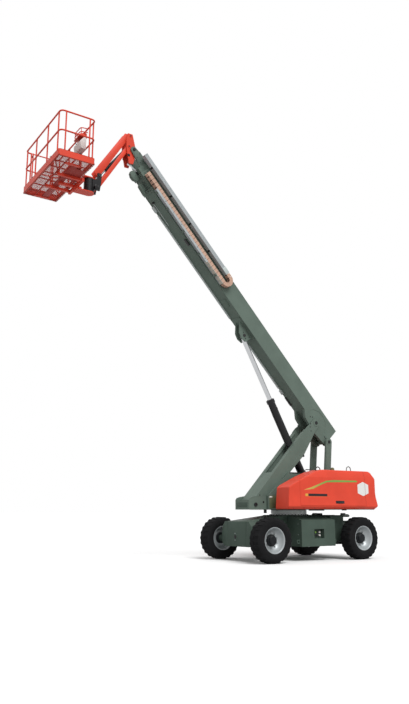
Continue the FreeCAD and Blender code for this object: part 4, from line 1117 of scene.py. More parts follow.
        # Painted shade: flat dark strips where the slots' insides would be in shade.
        slots = [Bench.block("slot", (.72, 2.09, 1.66 + k * .06), (1.02, 2.118, 1.69 + k * .06), .004, 1)
                for k in range(6)]
        self.fit(shop, Bench.join("rear_slots", slots), "rear_slots", False, DARK_PLASTIC_AND_SHADE, "black_paint")

    def edges(self, shop: Workshop) -> None:
        """The rubber edging, the screws and the pads of the skirt."""
        route = [(self.skirt_x - .002, -.93 + self.shorter, self.bottom + .006), (self.skirt_x - .002, 2.06,
                self.bottom + .006)]
        edging = Bench.pipe("skirt_edging", route, .007)
        self.fit(shop, edging, "skirt_edging", False, HOSE, "black_paint")
        screws = []
        for k in range(9):
            y = -.80 + self.shorter + k * (2.80 - self.shorter) / 8
            screws.append(Bench.rod("screw", (1.12, y, 1.295), (1.128, y, 1.289), .008, 8, .001))
        self.fit(shop, Bench.join("skirt_screws", screws), "skirt_screws", False, BOLT, "bare_steel")
        below = [Bench.block("pad", (1.01, y0, self.bottom - low), (1.085, y1, self.bottom + .002), .006)
                for y0, y1, low in ((-.20 + self.shorter, .27 + self.shorter, .028), (.94, 1.05, .022))]
        self.fit(shop, Bench.join("skirt_pads", below), "skirt_pads", False, BLACK, "black_paint")


# ------------------------------------------------------------------ turntable
@dataclass
class Turntable:
    """The nose, ring, lamps, hoses and fittings between the cowls."""

    nose_x: float = .288
    front_y: float = -1.53
    deck_z: float = 1.255
    nose_pin: tuple[float, float] = (-1.32, 1.38)
    stop_pin: tuple[float, float] = (-1.066, 1.441)

    def build(self, shop: Workshop) -> None:
        """Builds the nose's trim, the ring's teeth, the lamps and the lines on the deck."""
        self.nose(shop)
        self.ring(shop)
        self.lamps(shop)
        self.deck_lines(shop)

    def nose(self, shop: Workshop) -> None:
        """The nose's front panel, post, pin caps, side panels, welds and edges."""
        x, y, z = self.nose_x, self.front_y, self.deck_z
        # The nose's front panel is in the darker green: painted shade on the front face.
        panel = Bench.block("nose_panel", (-x + .05, y - .003, z + .05), (x - .05, y + .02, 1.44), .012, 3)
        shop.add(panel, "turntable", SHADED_GREEN, "frame_paint")
        post = Bench.block("nose_post", (.215, -1.01, 1.165), (.27, -.95, z + .004), .006)
        shop.add(post, "turntable", BLACK, "black_paint")
        for side in Side:
            s = side.value
            shop.cap("nose_pin_cap", side, x, ((0, 0), (0, .052), (.020, .049), (.024, .034), (.024, 0)),
                    self.nose_pin, "turntable", BLACK, "black_paint")
            panel = Bench.block(f"side_panel_{side.label}", (s * .358, -.93, 1.28), (s * .367, -.58, 1.60),
                    .004)
            shop.add(panel, "turntable", OLIVE, "frame_paint")
            shop.cap("nose_stop", side, x, ((0, 0), (0, .026), (.006, .023), (.006, 0)), self.stop_pin,
                    "turntable", BLACK, "black_paint", 24)
            seam = Bench.block(f"nose_weld_{side.label}", (s * (x - .002), -.962, z), (s * (x + .006),
                    -.946, 1.60), .003)
            shop.add(seam, "turntable", GREEN, "frame_paint")
            cheek = Bench.plate(f"nose_edge_{side.label}", [(-1.527, 1.26), (-1.515, 1.26), (-1.515, 1.488),
                    (-1.485, 1.533), (-1.40, 1.560), (-1.20, 1.588), (-.955, 1.606), (-.955, 1.615),
                    (-1.20, 1.597), (-1.402, 1.569), (-1.493, 1.539), (-1.527, 1.494)], Axis.X,
                    s * (x - .002), s * (x + .004))
            shop.add(cheek, "turntable", GREEN, "frame_paint")

    def ring(self, shop: Workshop) -> None:
        """The slewing ring's teeth and the swing motor's housing."""
        teeth = []
        tooth = Bench.plate("tooth", [(-.013, .455), (.013, .455), (.008, .469), (-.008, .469)], Axis.Z,
                1.135, 1.215)
        for k in range(72):
            teeth.append(Bench.copy(tooth, "tooth", Matrix.Rotation(math.tau * k / 72, 4, "Z")))
        bpy.data.objects.remove(tooth)
        # The teeth share the ring's near-white colour, which paints light on them in the shade.
        shop.add(Bench.join("ring_teeth", teeth), "chassis", PLATED_AND_LIT, "bare_steel")
        motor = Bench.turned("swing_motor", [(1.27, 0), (1.27, .105), (1.38, .105), (1.40, .085),
                (1.55, .082), (1.57, .06), (1.57, 0)], (-.20, .46, 0), Axis.Z, 32)
        shop.add(motor, "turntable", BLACK, "black_paint")

    def lamps(self, shop: Workshop) -> None:
        """The oval work lamp on each side plate."""
        for side in Side:
            s = side.value
            lamp = Bench.turned(f"side_lamp_{side.label}", [(s * .361, 0), (s * .361, .030),
                    (s * .372, .028), (s * .380, .018), (s * .382, 0)], (0, 0, 0), Axis.X, 24)
            Bench.moved(lamp, Matrix.Translation((0, -.888, 1.565)) @ Matrix.Diagonal((1, 1.8, .75, 1)))
            shop.add(lamp, "turntable", LAMP, "bare_steel")

    def deck_lines(self, shop: Workshop) -> None:
        """Valve block and hoses on the deck, and the side plates' rims."""
        block = Bench.block("valve_block", (-.22, .36, 1.29), (.02, .60, 1.42), .010)
        shop.add(block, "turntable", SILVER, "bare_steel")
        for k in range(5):
            x = -.19 + k * .045
            route = [(x, .40, 1.42), (x, .38, 1.52), (x * .8, .10, 1.60), (x * .8, -.60, 1.42),
                    (x, -.95, 1.34)]
            shop.add(Bench.pipe(f"deck_line_{k}", route, .013, bend=.09), "turntable", HOSE, "black_paint")
        for side in Side:
            s = side.value
            rib = Bench.block(f"side_plate_rim_{side.label}", (s * .361, -.24, 2.190), (s * .372, 1.10,
                    2.212), .003)
            shop.add(rib, "turntable", BLACK, "black_paint")


# ------------------------------------------------------------------ lifting linkage
@dataclass
class Linkage:
    """The trim of the lower arm, the rear links and the lift cylinder."""

    pin_a: tuple[float, float] = (-1.32, 1.38)
    pin_b: tuple[float, float] = (.856, 3.591)
    pin_c: tuple[float, float] = (1.10, 1.60)
    pin_d: tuple[float, float] = (1.248, 3.084)
    pin_e: tuple[float, float] = (.84, 1.60)
    pin_f: tuple[float, float] = (-1.46, 5.798)
    arm_x: float = .256
    link_x: float = .320

    def build(self, shop: Workshop) -> None:
        """Builds the trim of the arm, the links and the lift cylinder."""
        self.arm(shop)
        self.links(shop)
        self.cylinder(shop)

    def on_arm(self, along: float, up: float, x: float = 0.0) -> Vector:
        """A point on the lower arm: distance from its nose pin and height above the line of its pins."""
        a, b = Vector((0, *self.pin_a)), Vector((0, *self.pin_b))
        run = (b - a).normalized()
        return a + run * along + Vector((1, 0, 0)).cross(run) * up + Vector((x, 0, 0))

    def arm(self, shop: Workshop) -> None:
        """Weld beads, pin bosses, the rear lug and the front bracket of the lower arm."""
        for side in Side:
            s, label = side.value, side.label
            x = s * self.arm_x
            weld = Bench.pipe(f"arm_weld_{label}", [self.on_arm(a, u, x) for a, u in ((.25, -.12),
                    (.9, -.17), (1.6, -.19), (2.3, -.17))], .006, bend=.4)
            shop.add(weld, "lower_arm", GREEN, "frame_paint")
            shop.cap("arm_boss", side, self.arm_x, ((0, .052), (0, .098), (.008, .095), (.010, .055)),
                    self.pin_b, "lower_arm", GREEN, "frame_paint", 36)
            shop.cap("arm_pin_cap", side, self.arm_x, ((0, 0), (0, .046), (.012, .044), (.012, 0)),
                    self.pin_b, "boom_base", BLACK, "black_paint")
            shop.cap("arm_foot", side, self.arm_x, ((0, .055), (0, .092), (.016, .088), (.018, .058)),
                    self.pin_a, "lower_arm", GREEN, "frame_paint", 36)
            bolts = [Bench.rod("bolt", self.on_arm(a, u, x - s * .002), self.on_arm(a, u, x + s * .012),
                    .014, 6) for a, u in ((2.86, .075), (2.80, -.02), (2.93, .13), (.28, .05))]
            shop.add(Bench.join(f"arm_bolts_{label}", bolts), "lower_arm", BOLT, "bare_steel")
            lug = Bench.rod(f"arm_rear_bolt_{label}", (s * .20, .36, 2.67), (s * .262, .36, 2.67), .030, 24,
                    .004)
            shop.add(lug, "lower_arm", BLACK, "black_paint")
        bracket = [self.on_arm(a, u) for a, u in ((2.55, .120), (2.62, .150), (2.78, .152), (2.86, .135),
                (2.86, .110))]
        for side in Side:
            s = side.value
            plate = Bench.plate(f"arm_top_bracket_{side.label}", [(p.y, p.z) for p in bracket], Axis.X,
                    s * .236, s * .254, .004)
            shop.add(plate, "lower_arm", GREEN, "frame_paint")
            edge = [self.on_arm(a, u) for a, u in ((1.03, .117), (2.11, .134), (2.60, .131), (2.60, .113),
                    (2.11, .116), (1.03, .100))]
            flange = Bench.plate(f"arm_flange_{side.label}", [(p.y, p.z) for p in edge], Axis.X, s * .120,
                    s * .165, .003)
            shop.add(flange, "lower_arm", GREEN, "frame_paint")

    def links(self, shop: Workshop) -> None:
        """Collars round the links' pins and a stiffening web on each link."""
        c, d = Vector((0, *self.pin_c)), Vector((0, *self.pin_d))
        for side in Side:
            s, label = side.value, side.label
            for name, pin in (("lower", self.pin_c), ("upper", self.pin_d)):
                shop.cap(f"link_{name}", side, self.link_x, ((0, .052), (0, .088), (.006, .085),
                        (.007, .054)), pin, "rear_links", GREEN, "frame_paint")
            shop.cap("link_cap", side, self.link_x, ((0, 0), (0, .047), (.012, .044), (.012, 0)),
                    self.pin_d, "boom_base", BLACK, "black_paint")
            along = (d - c).normalized()
            web = [c + along * t + Vector((0, w, 0)) for t, w in ((.20, -.075), (1.30, -.075),
                    (1.30, -.085), (.20, -.085))]
            rib = Bench.plate(f"link_rib_{label}", [(p.y, p.z) for p in web], Axis.X,
                    s * (self.link_x - .002), s * (self.link_x + .008), .002)
            shop.add(rib, "rear_links", GREEN, "frame_paint")

    def cylinder(self, shop: Workshop) -> None:
        """The lift cylinder's bands, pipe and valve."""
        e, f = Vector((0, *self.pin_e)), Vector((0, *self.pin_f))
        along = (f - e).normalized()
        across = Vector((1, 0, 0)).cross(along)
        turn = along.to_track_quat("Z", "Y").to_matrix().to_4x4()
        bands = [Bench.turned("band", [(at, .094), (at, .104), (at + .004, .106), (at + .041, .106),
                (at + .045, .104), (at + .045, .094)], (0, 0, 0), Axis.Z, 40) for at in (.35, 1.55, 2.60)]
        bands.append(Bench.turned("wiper", [(2.898, .072), (2.898, .084), (2.912, .084), (2.915, .080),
                (2.915, .072)], (0, 0, 0), Axis.Z, 40))
        bands = Bench.moved(Bench.join("lift_bands", bands), Matrix.Translation(e) @ turn)
        shop.add(bands, "lift_barrel", BLACK, "black_paint")
        pipe = [e + along * .40 + across * .118, e + along * .9 + across * .122,
                e + along * 2.5 + across * .122, e + along * 2.78 + across * .105]
        shop.add(Bench.pipe("lift_pipe", pipe, .012, bend=.05), "lift_barrel", BLACK, "black_paint")
        valve = Bench.block("lift_valve", (-.05, -.06, -.07), (.05, .06, .07), .008)
        Bench.moved(valve, Matrix.Translation(e + along * .32 + across * .13) @ turn)
        shop.add(valve, "lift_barrel", SILVER, "bare_steel")


# ------------------------------------------------------------------ boom
@dataclass
class Boom:
    """The telescopic boom's trim, laid out on the level boom and turned into place."""

    root: Triple = (0, 1.626, 3.412)
    angle: float = math.radians(-47)
    half: float = .22
    depth: float = .47
    mid_half: float = .202
    fly_half: float = .184

    def build(self, shop: Workshop) -> None:
        """Builds the trim from the heel to the head."""
        self.place = Matrix.Translation(self.root) @ Matrix.Rotation(self.angle, 4, "X")
        self.shop = shop
        self.heel()
        self.cylinder_foot()
        self.underside()
        self.collars()
        self.head()

    def put(self, obj: Piece, body: str, finish: Finish, slot: str,
            replaces: Sequence[str] = ()) -> Piece:
        """Turns a piece of the level boom into place and hands it over."""
        return self.shop.add(Bench.moved(obj, self.place), body, finish, slot, replaces)

    @staticmethod
    def at(along: float, down: float, x: float = 0.0) -> Vector:
        """A point on the level boom, by distance and depth."""
        return Vector((x, -along, -down))

    def slab(self, name: str, along: Point, down: Point, x: Point, soft: float = 0.0) -> Piece:
        """A block on the level boom between two distances, two depths and two sides."""
        return Bench.block(name, (x[0], -along[0], -down[0]), (x[1], -along[1], -down[1]), soft)

    def sheet(self, name: str, outline: Sequence[Point], x0: float, x1: float,
            soft: float = 0.0) -> Piece:
        """A plate on the level boom with a (distance, depth) outline."""
        return Bench.plate(name, [(-s, -d) for s, d in outline], Axis.X, x0, x1, soft)

    def dots(self, name: str, places: Sequence[Point], x0: float, x1: float, radius: float,
            sides: int = 6) -> Piece:
        """Bolt heads across the boom at (distance, depth) places."""
        return Bench.join(name, [Bench.rod("bolt", self.at(s, d, x0), self.at(s, d, x1), radius, sides)
                for s, d in places])

    def heel(self) -> None:
        """The cast heel's weld, pin locks and the boom's end plate."""
        for side in Side:
            s, label = side.value, side.label
            x = s * self.half
            route = [self.at(a, d, x) for a, d in ((1.02, .30), (.97, .22), (.80, .11), (.60, .08),
                    (.42, .14), (.29, .29), (.25, .36))]
            self.put(Bench.pipe(f"heel_weld_{label}", route, .007, bend=.10), "boom_base", GREEN,
                    "frame_paint")
            lock = self.slab(f"pin_lock_{label}", (.10, .20), (.42, .455), (x, x + s * .012), .003)
            self.put(lock, "boom_base", GREEN, "frame_paint")
            self.put(self.dots(f"heel_bolts_{label}", ((.12, .437), (.18, .437), (.84, .40), (.90, .455)),
                    x, x + s * .014, .013), "boom_base", BOLT, "bare_steel")
        plate = self.slab("tail_plate", (-.000, .012), (.03, .44), (-.19, .19), .004)
        self.put(plate, "boom_base", GREEN, "frame_paint")

    def cylinder_foot(self) -> None:
        """Pin caps, bolts and a wear plate where the lift cylinder pushes."""
        for side in Side:
            s, label = side.value, side.label
            cap = Bench.turned(f"foot_cap_{label}", [(s * .10, 0), (s * .10, .045), (s * .112, .042),
                    (s * .114, .030), (s * .114, 0)], self.at(3.85, .63), Axis.X, 32)
            self.put(cap, "boom_base", BOLT, "bare_steel")
            self.put(self.dots(f"foot_bolts_{label}", ((3.93, .60), (3.77, .66), (3.72, .53), (4.08, .52)),
                    s * .10, s * .112, .012), "boom_base", BOLT, "bare_steel")
        pad = self.slab("foot_pad", (3.60, 4.34), (.47, .482), (-.16, .16), .004)
        self.put(pad, "boom_base", GREEN, "frame_paint")

    def underside(self) -> None:
        """The pipes, clips and cover below the boom."""
        ducts = [self.slab("under_duct", ends, (.469, .500), (-.217, -.165), .006)
                for ends in ((1.98, 3.50), (4.38, 7.72))]
        ducts.append(self.slab("under_box", (1.78, 1.93), (.469, .518), (-.217, -.14), .008))
        self.put(Bench.join("under_ducts", ducts), "boom_base", PALE_STEEL, "bare_steel")
        for name, along, down, x, soft, finish, slot in (("under_stop", (1.36, 1.66), (.469, .496),
                (-.215, -.15), .008, BLACK, "black_paint"), ("under_line", (7.35, 8.04), (.469, .478),
                (-.092, -.074), .002, PALE_STEEL, "bare_steel"), ("under_sensor", (6.64, 6.84),
                (.469, .505), (.12, .212), .008, BLACK, "black_paint"), ("under_cover", (4.70, 4.95),
                (.470, .483), (-.10, .10), .005, GREEN, "frame_paint")):
            self.put(self.slab(name, along, down, x, soft), "boom_base", finish, slot)
        for side in Side:
            s = side.value
            strip = self.slab(f"lower_strip_{side.label}", (4.30, 8.26), (.470, .478), (s * .218, s * .190),
                    .002)
            self.put(strip, "boom_base", GREEN, "frame_paint")

    def collars(self) -> None:
        """Pad bolts round the mouths of the base and the middle section."""
        for side in Side:
            s, label = side.value, side.label
            x = s * (self.half + .014)
            self.put(self.dots(f"base_pad_bolts_{label}", [(8.345, d) for d in (.09, .17, .30, .38)],
                    x - s * .002, x + s * .010, .012), "boom_base", BOLT, "bare_steel")
            x = s * (self.mid_half + .020)
            self.put(self.dots(f"mid_pad_bolts_{label}", [(8.775, d) for d in (.10, .18, .29, .37)],
                    x - s * .002, x + s * .010, .011), "boom_mid", BOLT, "bare_steel")
        below = [Bench.rod("bolt", self.at(8.345, .482, x), self.at(8.345, .494, x), .013, 6)
                for x in (-.14, -.05, .05, .14)]
        self.put(Bench.join("base_low_bolts", below), "boom_base", BOLT, "bare_steel")
        below = [Bench.rod("bolt", self.at(8.775, .470, x), self.at(8.775, .482, x), .012, 6)
                for x in (-.13, -.045, .045, .13)]
        self.put(Bench.join("mid_low_bolts", below), "boom_mid", BOLT, "bare_steel")
        for s in (-1, 1):
            line = Bench.pipe("collar_weld", [self.at(8.282, d, s * self.half) for d in (.01, .46)], .006)
            self.put(line, "boom_base", GREEN,
                    "frame_paint").name = f"collar_weld_{'left' if s > 0 else 'right'}"

    def head(self) -> None:
        """The rollers, hose guides and plates below the sections' mouths."""
        roller = self.sheet("hose_roller", [(8.70, .475), (8.74, .60), (8.80, .655), (8.90, .66),
                (8.985, .62), (9.02, .56), (8.99, .475)], -.055, .055, .02)
        self.put(roller, "boom_mid", GREEN, "frame_paint")
        hook = self.sheet("guide_hook", [(8.62, .486), (8.64, .56), (8.60, .62), (8.34, .645), (8.30, .62),
                (8.41, .585), (8.43, .540), (8.40, .50)], -.05, .05, .012)
        self.put(hook, "boom_mid", GREEN, "frame_paint")
        knob = Bench.rod("under_knob", self.at(8.05, .47, -.04), self.at(8.05, .545, -.04), .026, 20, .006)
        self.put(knob, "boom_base", BOLT, "bare_steel")
        light = self.slab("under_block", (7.80, 7.98), (.470, .512), (-.215, -.12), .006)
        self.put(light, "boom_base", PALE_STEEL, "bare_steel")
        for side in Side:
            s, label = side.value, side.label
            x = s * (self.fly_half - .008)
            plate = self.sheet(f"head_plate_{label}", [(9.00, .085), (9.28, .085), (9.36, .16), (9.36, .24),
                    (9.24, .31), (9.00, .31)], x, x + s * .008, .003)
            self.put(plate, "boom_fly", GREEN, "frame_paint")
            self.put(self.dots(f"head_bolts_{label}", ((9.05, .12), (9.05, .27), (9.24, .12), (9.20, .27)),
                    x, x + s * .018, .012), "boom_fly", BOLT, "bare_steel")
            cap = Bench.turned(f"head_pin_cap_{label}", [(x, 0), (x, .040), (x + s * .016, .038),
                    (x + s * .016, 0)], self.at(9.404, .19), Axis.X, 28)
            self.put(cap, "boom_fly", BLACK, "black_paint")


# ------------------------------------------------------------------ cable carrier
@dataclass
class CableCarrier:
    """The chain with its links, the tray below it and the duct on the fly section."""

    boom: Boom
    inner: float = .25
    outer: float = .37
    top: float = .06
    bottom: float = .435
    strand: float = .11
    loop_at: float = 5.3375
    loop_radius: float = .1875
    pitch: float = .105
    turns: int = 8

    def build(self, shop: Workshop) -> None:
        """Builds the chain, the tray and the duct."""
        self.chain()
        self.tray()
        self.duct()

    def link(self, low: float, high: float) -> Piece:
        """One link at the origin, its run along -Y: two side plates and the bars between them.

        Args:
            low: Half its length at the inner edge.
            high: Half its length at the outer edge.

        Returns:
            The link, its outer edge at height zero.
        """
        h = self.strand
        parts = []
        for x in (self.inner, self.outer - .012):
            outline = [(-low, -h), (low, -h), (high, 0), (-high, 0)]
            parts.append(Bench.plate("side", outline, Axis.X, x, x + .012, .003, 1))
        for z, half in ((-.010, high - .012), (-h, low - .012)):
            if half > .01:
                parts.append(Bench.block("bar", (self.inner + .010, -half, z), (self.outer - .010, half,
                        z + .010)))
        return Bench.join("link", parts)

    def chain(self) -> None:
        """Links along the lower strand, round the bend and on the short upper strand."""
        half, h, end = self.pitch / 2 - .003, self.strand, 8.74
        model = self.link(half, half)
        count = int((end - self.loop_at) / self.pitch)
        step = (end - self.loop_at) / count
        parts = [Bench.copy(model, "link", Matrix.Translation((0, -self.loop_at - step * (k + .5),
                -self.bottom + h))) for k in range(count)]
        parts.append(Bench.copy(model, "link", Matrix.Translation((0, -self.loop_at - .055, -self.top))))
        centre = Vector((0, -self.loop_at, -self.top - self.loop_radius))
        wedge = math.tan(math.pi / 2 / self.turns)
        bent = self.link((self.loop_radius - h) * wedge - .001, self.loop_radius * wedge - .002)
        for k in range(self.turns):
            turn = Matrix.Translation(centre) @ Matrix.Rotation(-math.pi * (k + .5) / self.turns, 4, "X")
            parts.append(Bench.copy(bent, "link", turn @ Matrix.Translation((0, 0,
                    self.loop_radius * .985))))
        for used in (model, bent):
            bpy.data.objects.remove(used)
        self.boom.put(Bench.join("chain_links", parts), "boom_base", CHAIN, "chain_plastic",
                ["cable_chain"])
        middle = self.loop_radius - h / 2
        hoses = []
        for x in (.285, .31, .335):
            low, high = self.bottom - h / 2, self.top + h / 2
            arc = [self.boom.at(self.loop_at - math.sin(a) * middle,
                    self.top + self.loop_radius + math.cos(a) * middle, x) for a in [math.pi * k / 10
                    for k in range(11)]]
            route = [self.boom.at(end - .02, low, x)] + arc + [self.boom.at(self.loop_at + .10, high, x)]
            hoses.append(Bench.pipe("carried_hose", route, .011))
        self.boom.put(Bench.join("carried_hoses", hoses), "boom_base", HOSE, "black_paint")

    def tray(self) -> None:
        """Brackets under the tray, a rolled edge on its lip and its bolts."""
        brackets = [self.boom.sheet("bracket", [(s, .441), (s + .05, .441), (s + .05, .475), (s, .475)],
                .221, .374, .003) for s in (5.60, 6.30, 7.00, 7.70, 8.18)]
        self.boom.put(Bench.join("tray_brackets", brackets), "boom_base", GREEN, "frame_paint")
        slats = [self.boom.slab("slat", (5.345 + .105 * k, 5.435 + .105 * k), (.440, .448), (.262, .374),
                .002) for k in range(7)]
        self.boom.put(Bench.join("tray_slats", slats), "boom_base", CHAIN_PALE, "chain_plastic")
        rolled = Bench.pipe("tray_edge", [self.boom.at(6.045, .494, .3785), self.boom.at(8.28, .494,
                .3785)], .0055)
        self.boom.put(rolled, "boom_base", PALE_STEEL, "bare_steel")
        self.boom.put(self.boom.dots("tray_bolts", [(6.15 + .35 * k, .46) for k in range(6)], .382, .388,
                .010), "boom_base", BOLT, "bare_steel")

    def duct(self) -> None:
        """Ribs along the duct, its wide bracket and four clips across it."""
        start, end, x0, x1 = 5.4495, 9.14, self.inner, self.outer
        grooves = [self.boom.slab("rib", (start + .02, end - .02), (d, d + .006), (x1 - .001, x1 + .003),
                .001) for d in (.085, .112, .139)]
        self.boom.put(Bench.join("duct_ribs", grooves), "boom_fly", PALE_STEEL, "bare_steel")
        wide = self.boom.sheet("duct_bracket", [(5.45, .052), (5.65, .052), (5.65, .175), (5.45, .178)], x1,
                x1 + .006, .002)
        self.boom.put(wide, "boom_fly", PALE_STEEL, "bare_steel")
        for k in range(4):
            s = 6.2 + k * .85
            clip = self.boom.slab(f"duct_clip_{k}", (s, s + .05), (.168, .176), (x0 + .01, x1 - .01), .002)
            self.boom.put(clip, "boom_fly", BOLT, "bare_steel")


# ------------------------------------------------------------------ jib
@dataclass
class Jib:
    """The jib's arms, its knuckle and cylinders, and the head that turns the platform."""

    upper_rear: tuple[float, float] = (-5.0170, 10.5371)
    upper_front: tuple[float, float] = (-5.8250, 9.2031)
    drop: tuple[float, float] = (-.033, -.303)
    arm_in: float = .062
    arm_out: float = .096
    cheek_out: float = .136
    depth: float = .105
    swivel_y: float = -6.040
    swivel_low: float = 8.740
    swivel_high: float = 9.090

    def build(self, shop: Workshop) -> None:
        """Builds the arms and what hangs on them."""
        self.arms(shop)
        self.knuckle_trim(shop)
        self.cylinders(shop)
        self.head(shop)

    def pin(self, place: Point, lower: bool = False) -> Vector:
        """The centre of a pin, or of the one below it."""
        y, z = place
        return Vector((0, y + (self.drop[0] if lower else 0), z + (self.drop[1] if lower else 0)))

    def arms(self, shop: Workshop) -> None:
        """Two pairs of bars with a lug at each pin: the upper pair passes above its pins."""
        for lower, node in ((False, "jib_upper"), (True, "jib_lower")):
            rear, front = self.pin(self.upper_rear, lower), self.pin(self.upper_front, lower)
            run = (front - rear).normalized()
            out = run.cross(Vector((1, 0, 0)))
            half, reach = self.depth / 2, self.depth * .38
            if lower:
                outline = [(rear, -reach, half * .55), (rear, 0, half), (front, 0, half), (front, reach,
                        half * .55), (front, reach, -half * .55), (front, 0, -half), (rear, 0, -half),
                        (rear, -reach, -half * .55)]
            else:
                outline = [(rear, -.025, .055), (rear, .025, .140), (front, -.015, .165),
                        (front, .030, .060), (front, .015, -.010), (rear, -.010, -.010)]
            corners = [pin + run * along + out * off for pin, along, off in outline]
            parts = []
            for side in Side:
                inner, outer = side.value * self.arm_in, side.value * self.arm_out
                parts.append(Bench.plate("arm", [(p.y, p.z) for p in corners], Axis.X, inner,
                        outer - side.value * .004, .006))
                for pin in (rear, front):
                    parts.append(Bench.rod("lug", pin + Vector((inner, 0, 0)),
                            pin + Vector((outer - side.value * .002, 0, 0)), .051, 28, .003))
                    ends = [pin + Matrix.Rotation(math.tau * (k + .5) / 6, 4, "X") @ (run * .046)
                            for k in range(6)]
                    parts.append(Bench.plate("end", [(p.y, p.z) for p in ends], Axis.X,
                            outer - side.value * .006, outer, .0015, 1))
            shop.add(Bench.join(f"{node}_look", parts), node, ORANGE, "orange_paint", [node])

    def knuckle_trim(self, shop: Workshop) -> None:
        """Bosses, pins and a dark disc that paints the shade of the hole in each cheek of the levelling
        knuckle.
        """
        pins = [self.pin(self.upper_rear), self.pin(self.upper_rear, True)]
        for side in Side:
            s, label = side.value, side.label
            x = s * self.cheek_out
            for number, pin in enumerate(pins):
                boss = Bench.turned(f"knuckle_boss_{number}_{label}", [(x, .024), (x, .050), (x + s * .005,
                        .048), (x + s * .006, .026)], pin, Axis.X, 28)
                shop.add(boss, "jib_knuckle", ORANGE, "orange_paint")
                cap = Bench.rod(f"knuckle_pin_{number}_{label}", pin + Vector((x, 0, 0)),
                        pin + Vector((x + s * .012, 0, 0)), .021, 24, .003)
                shop.add(cap, "jib_knuckle", BOLT, "bare_steel")
            # A flat dark disc: painted shade where the cheek's hole is.
            hole = Bench.rod(f"knuckle_hole_{label}", (x - s * .002, -5.055, 9.985), (x + s * .0015, -5.055,
                    9.985), .040, 28)
            shop.add(hole, "jib_knuckle", DARK_PLASTIC_AND_SHADE, "black_paint")

    def cylinders(self, shop: Workshop) -> None:
        """The jib cylinder's glands, pipe and rod nut."""
        low, high = self.pin(self.upper_rear, True), self.pin(self.upper_front)
        along = (high - low).normalized()
        across = Vector((1, 0, 0)).cross(along)
        parts = [Bench.rod("gland", low + along * .935, low + along * .979, .0455, 32, .003),
                Bench.rod("base", low + along * .04, low + along * .085, .045, 32, .003)]
        shop.add(Bench.join("jib_glands", parts), "jib_barrel", BLACK, "black_paint")
        pipe = Bench.pipe("jib_pipe", [low + along * .10 + across * .045, low + along * .12 + across * .056,
                low + along * .88 + across * .056, low + along * .92 + across * .042], .007, bend=.02)
        shop.add(pipe, "jib_barrel", BOLT, "bare_steel")
        nut = Bench.rod("jib_rod_nut", high - along * .085, high - along * .050, .036, 6, .003)
        shop.add(nut, "jib_rod", CHROME, "chrome_rod")

    def head(self, shop: Workshop) -> None:
        """The rotator's flanges, bolts, motor and pin trim."""
        y, low, high = self.swivel_y, self.swivel_low, self.swivel_high
        ribs = [Bench.turned("flange", [(z, .100), (z, .1285), (z + .022, .1285), (z + .022, .100)],
                (0, y, 0), Axis.Z, 48) for z in (low + .004, low + .10, low + .225, high - .026)]
        shop.add(Bench.join("rotator_flanges", ribs), "jib_head", BLACK, "black_paint")
        bolts = []
        for z in (low + .026, high - .030):
            for k in range(12):
                angle = math.tau * k / 12
                at = Vector((.116 * math.cos(angle), y + .116 * math.sin(angle), z))
                bolts.append(Bench.rod("bolt", at, at + Vector((0, 0, .010 if z < 8.9 else -.010)), .009,
                        6))
        shop.add(Bench.join("rotator_bolts", bolts), "jib_head", BOLT, "bare_steel")
        for side in Side:
            s, label = side.value, side.label
            x = s * self.cheek_out
            for number, pin in enumerate((self.pin(self.upper_front), self.pin(self.upper_front, True))):
                cap = Bench.turned(f"head_pin_{number}_{label}", [(x, 0), (x, .030), (x + s * .010, .027),
                        (x + s * .012, 0)], pin, Axis.X, 24)
                shop.add(cap, "jib_head", BOLT, "bare_steel")
        motor = Bench.rod("rotator_motor", (.136, -5.935, 8.86), (.215, -5.935, 8.86), .045, 28, .006)
        shop.add(motor, "jib_head", BLACK, "black_paint")


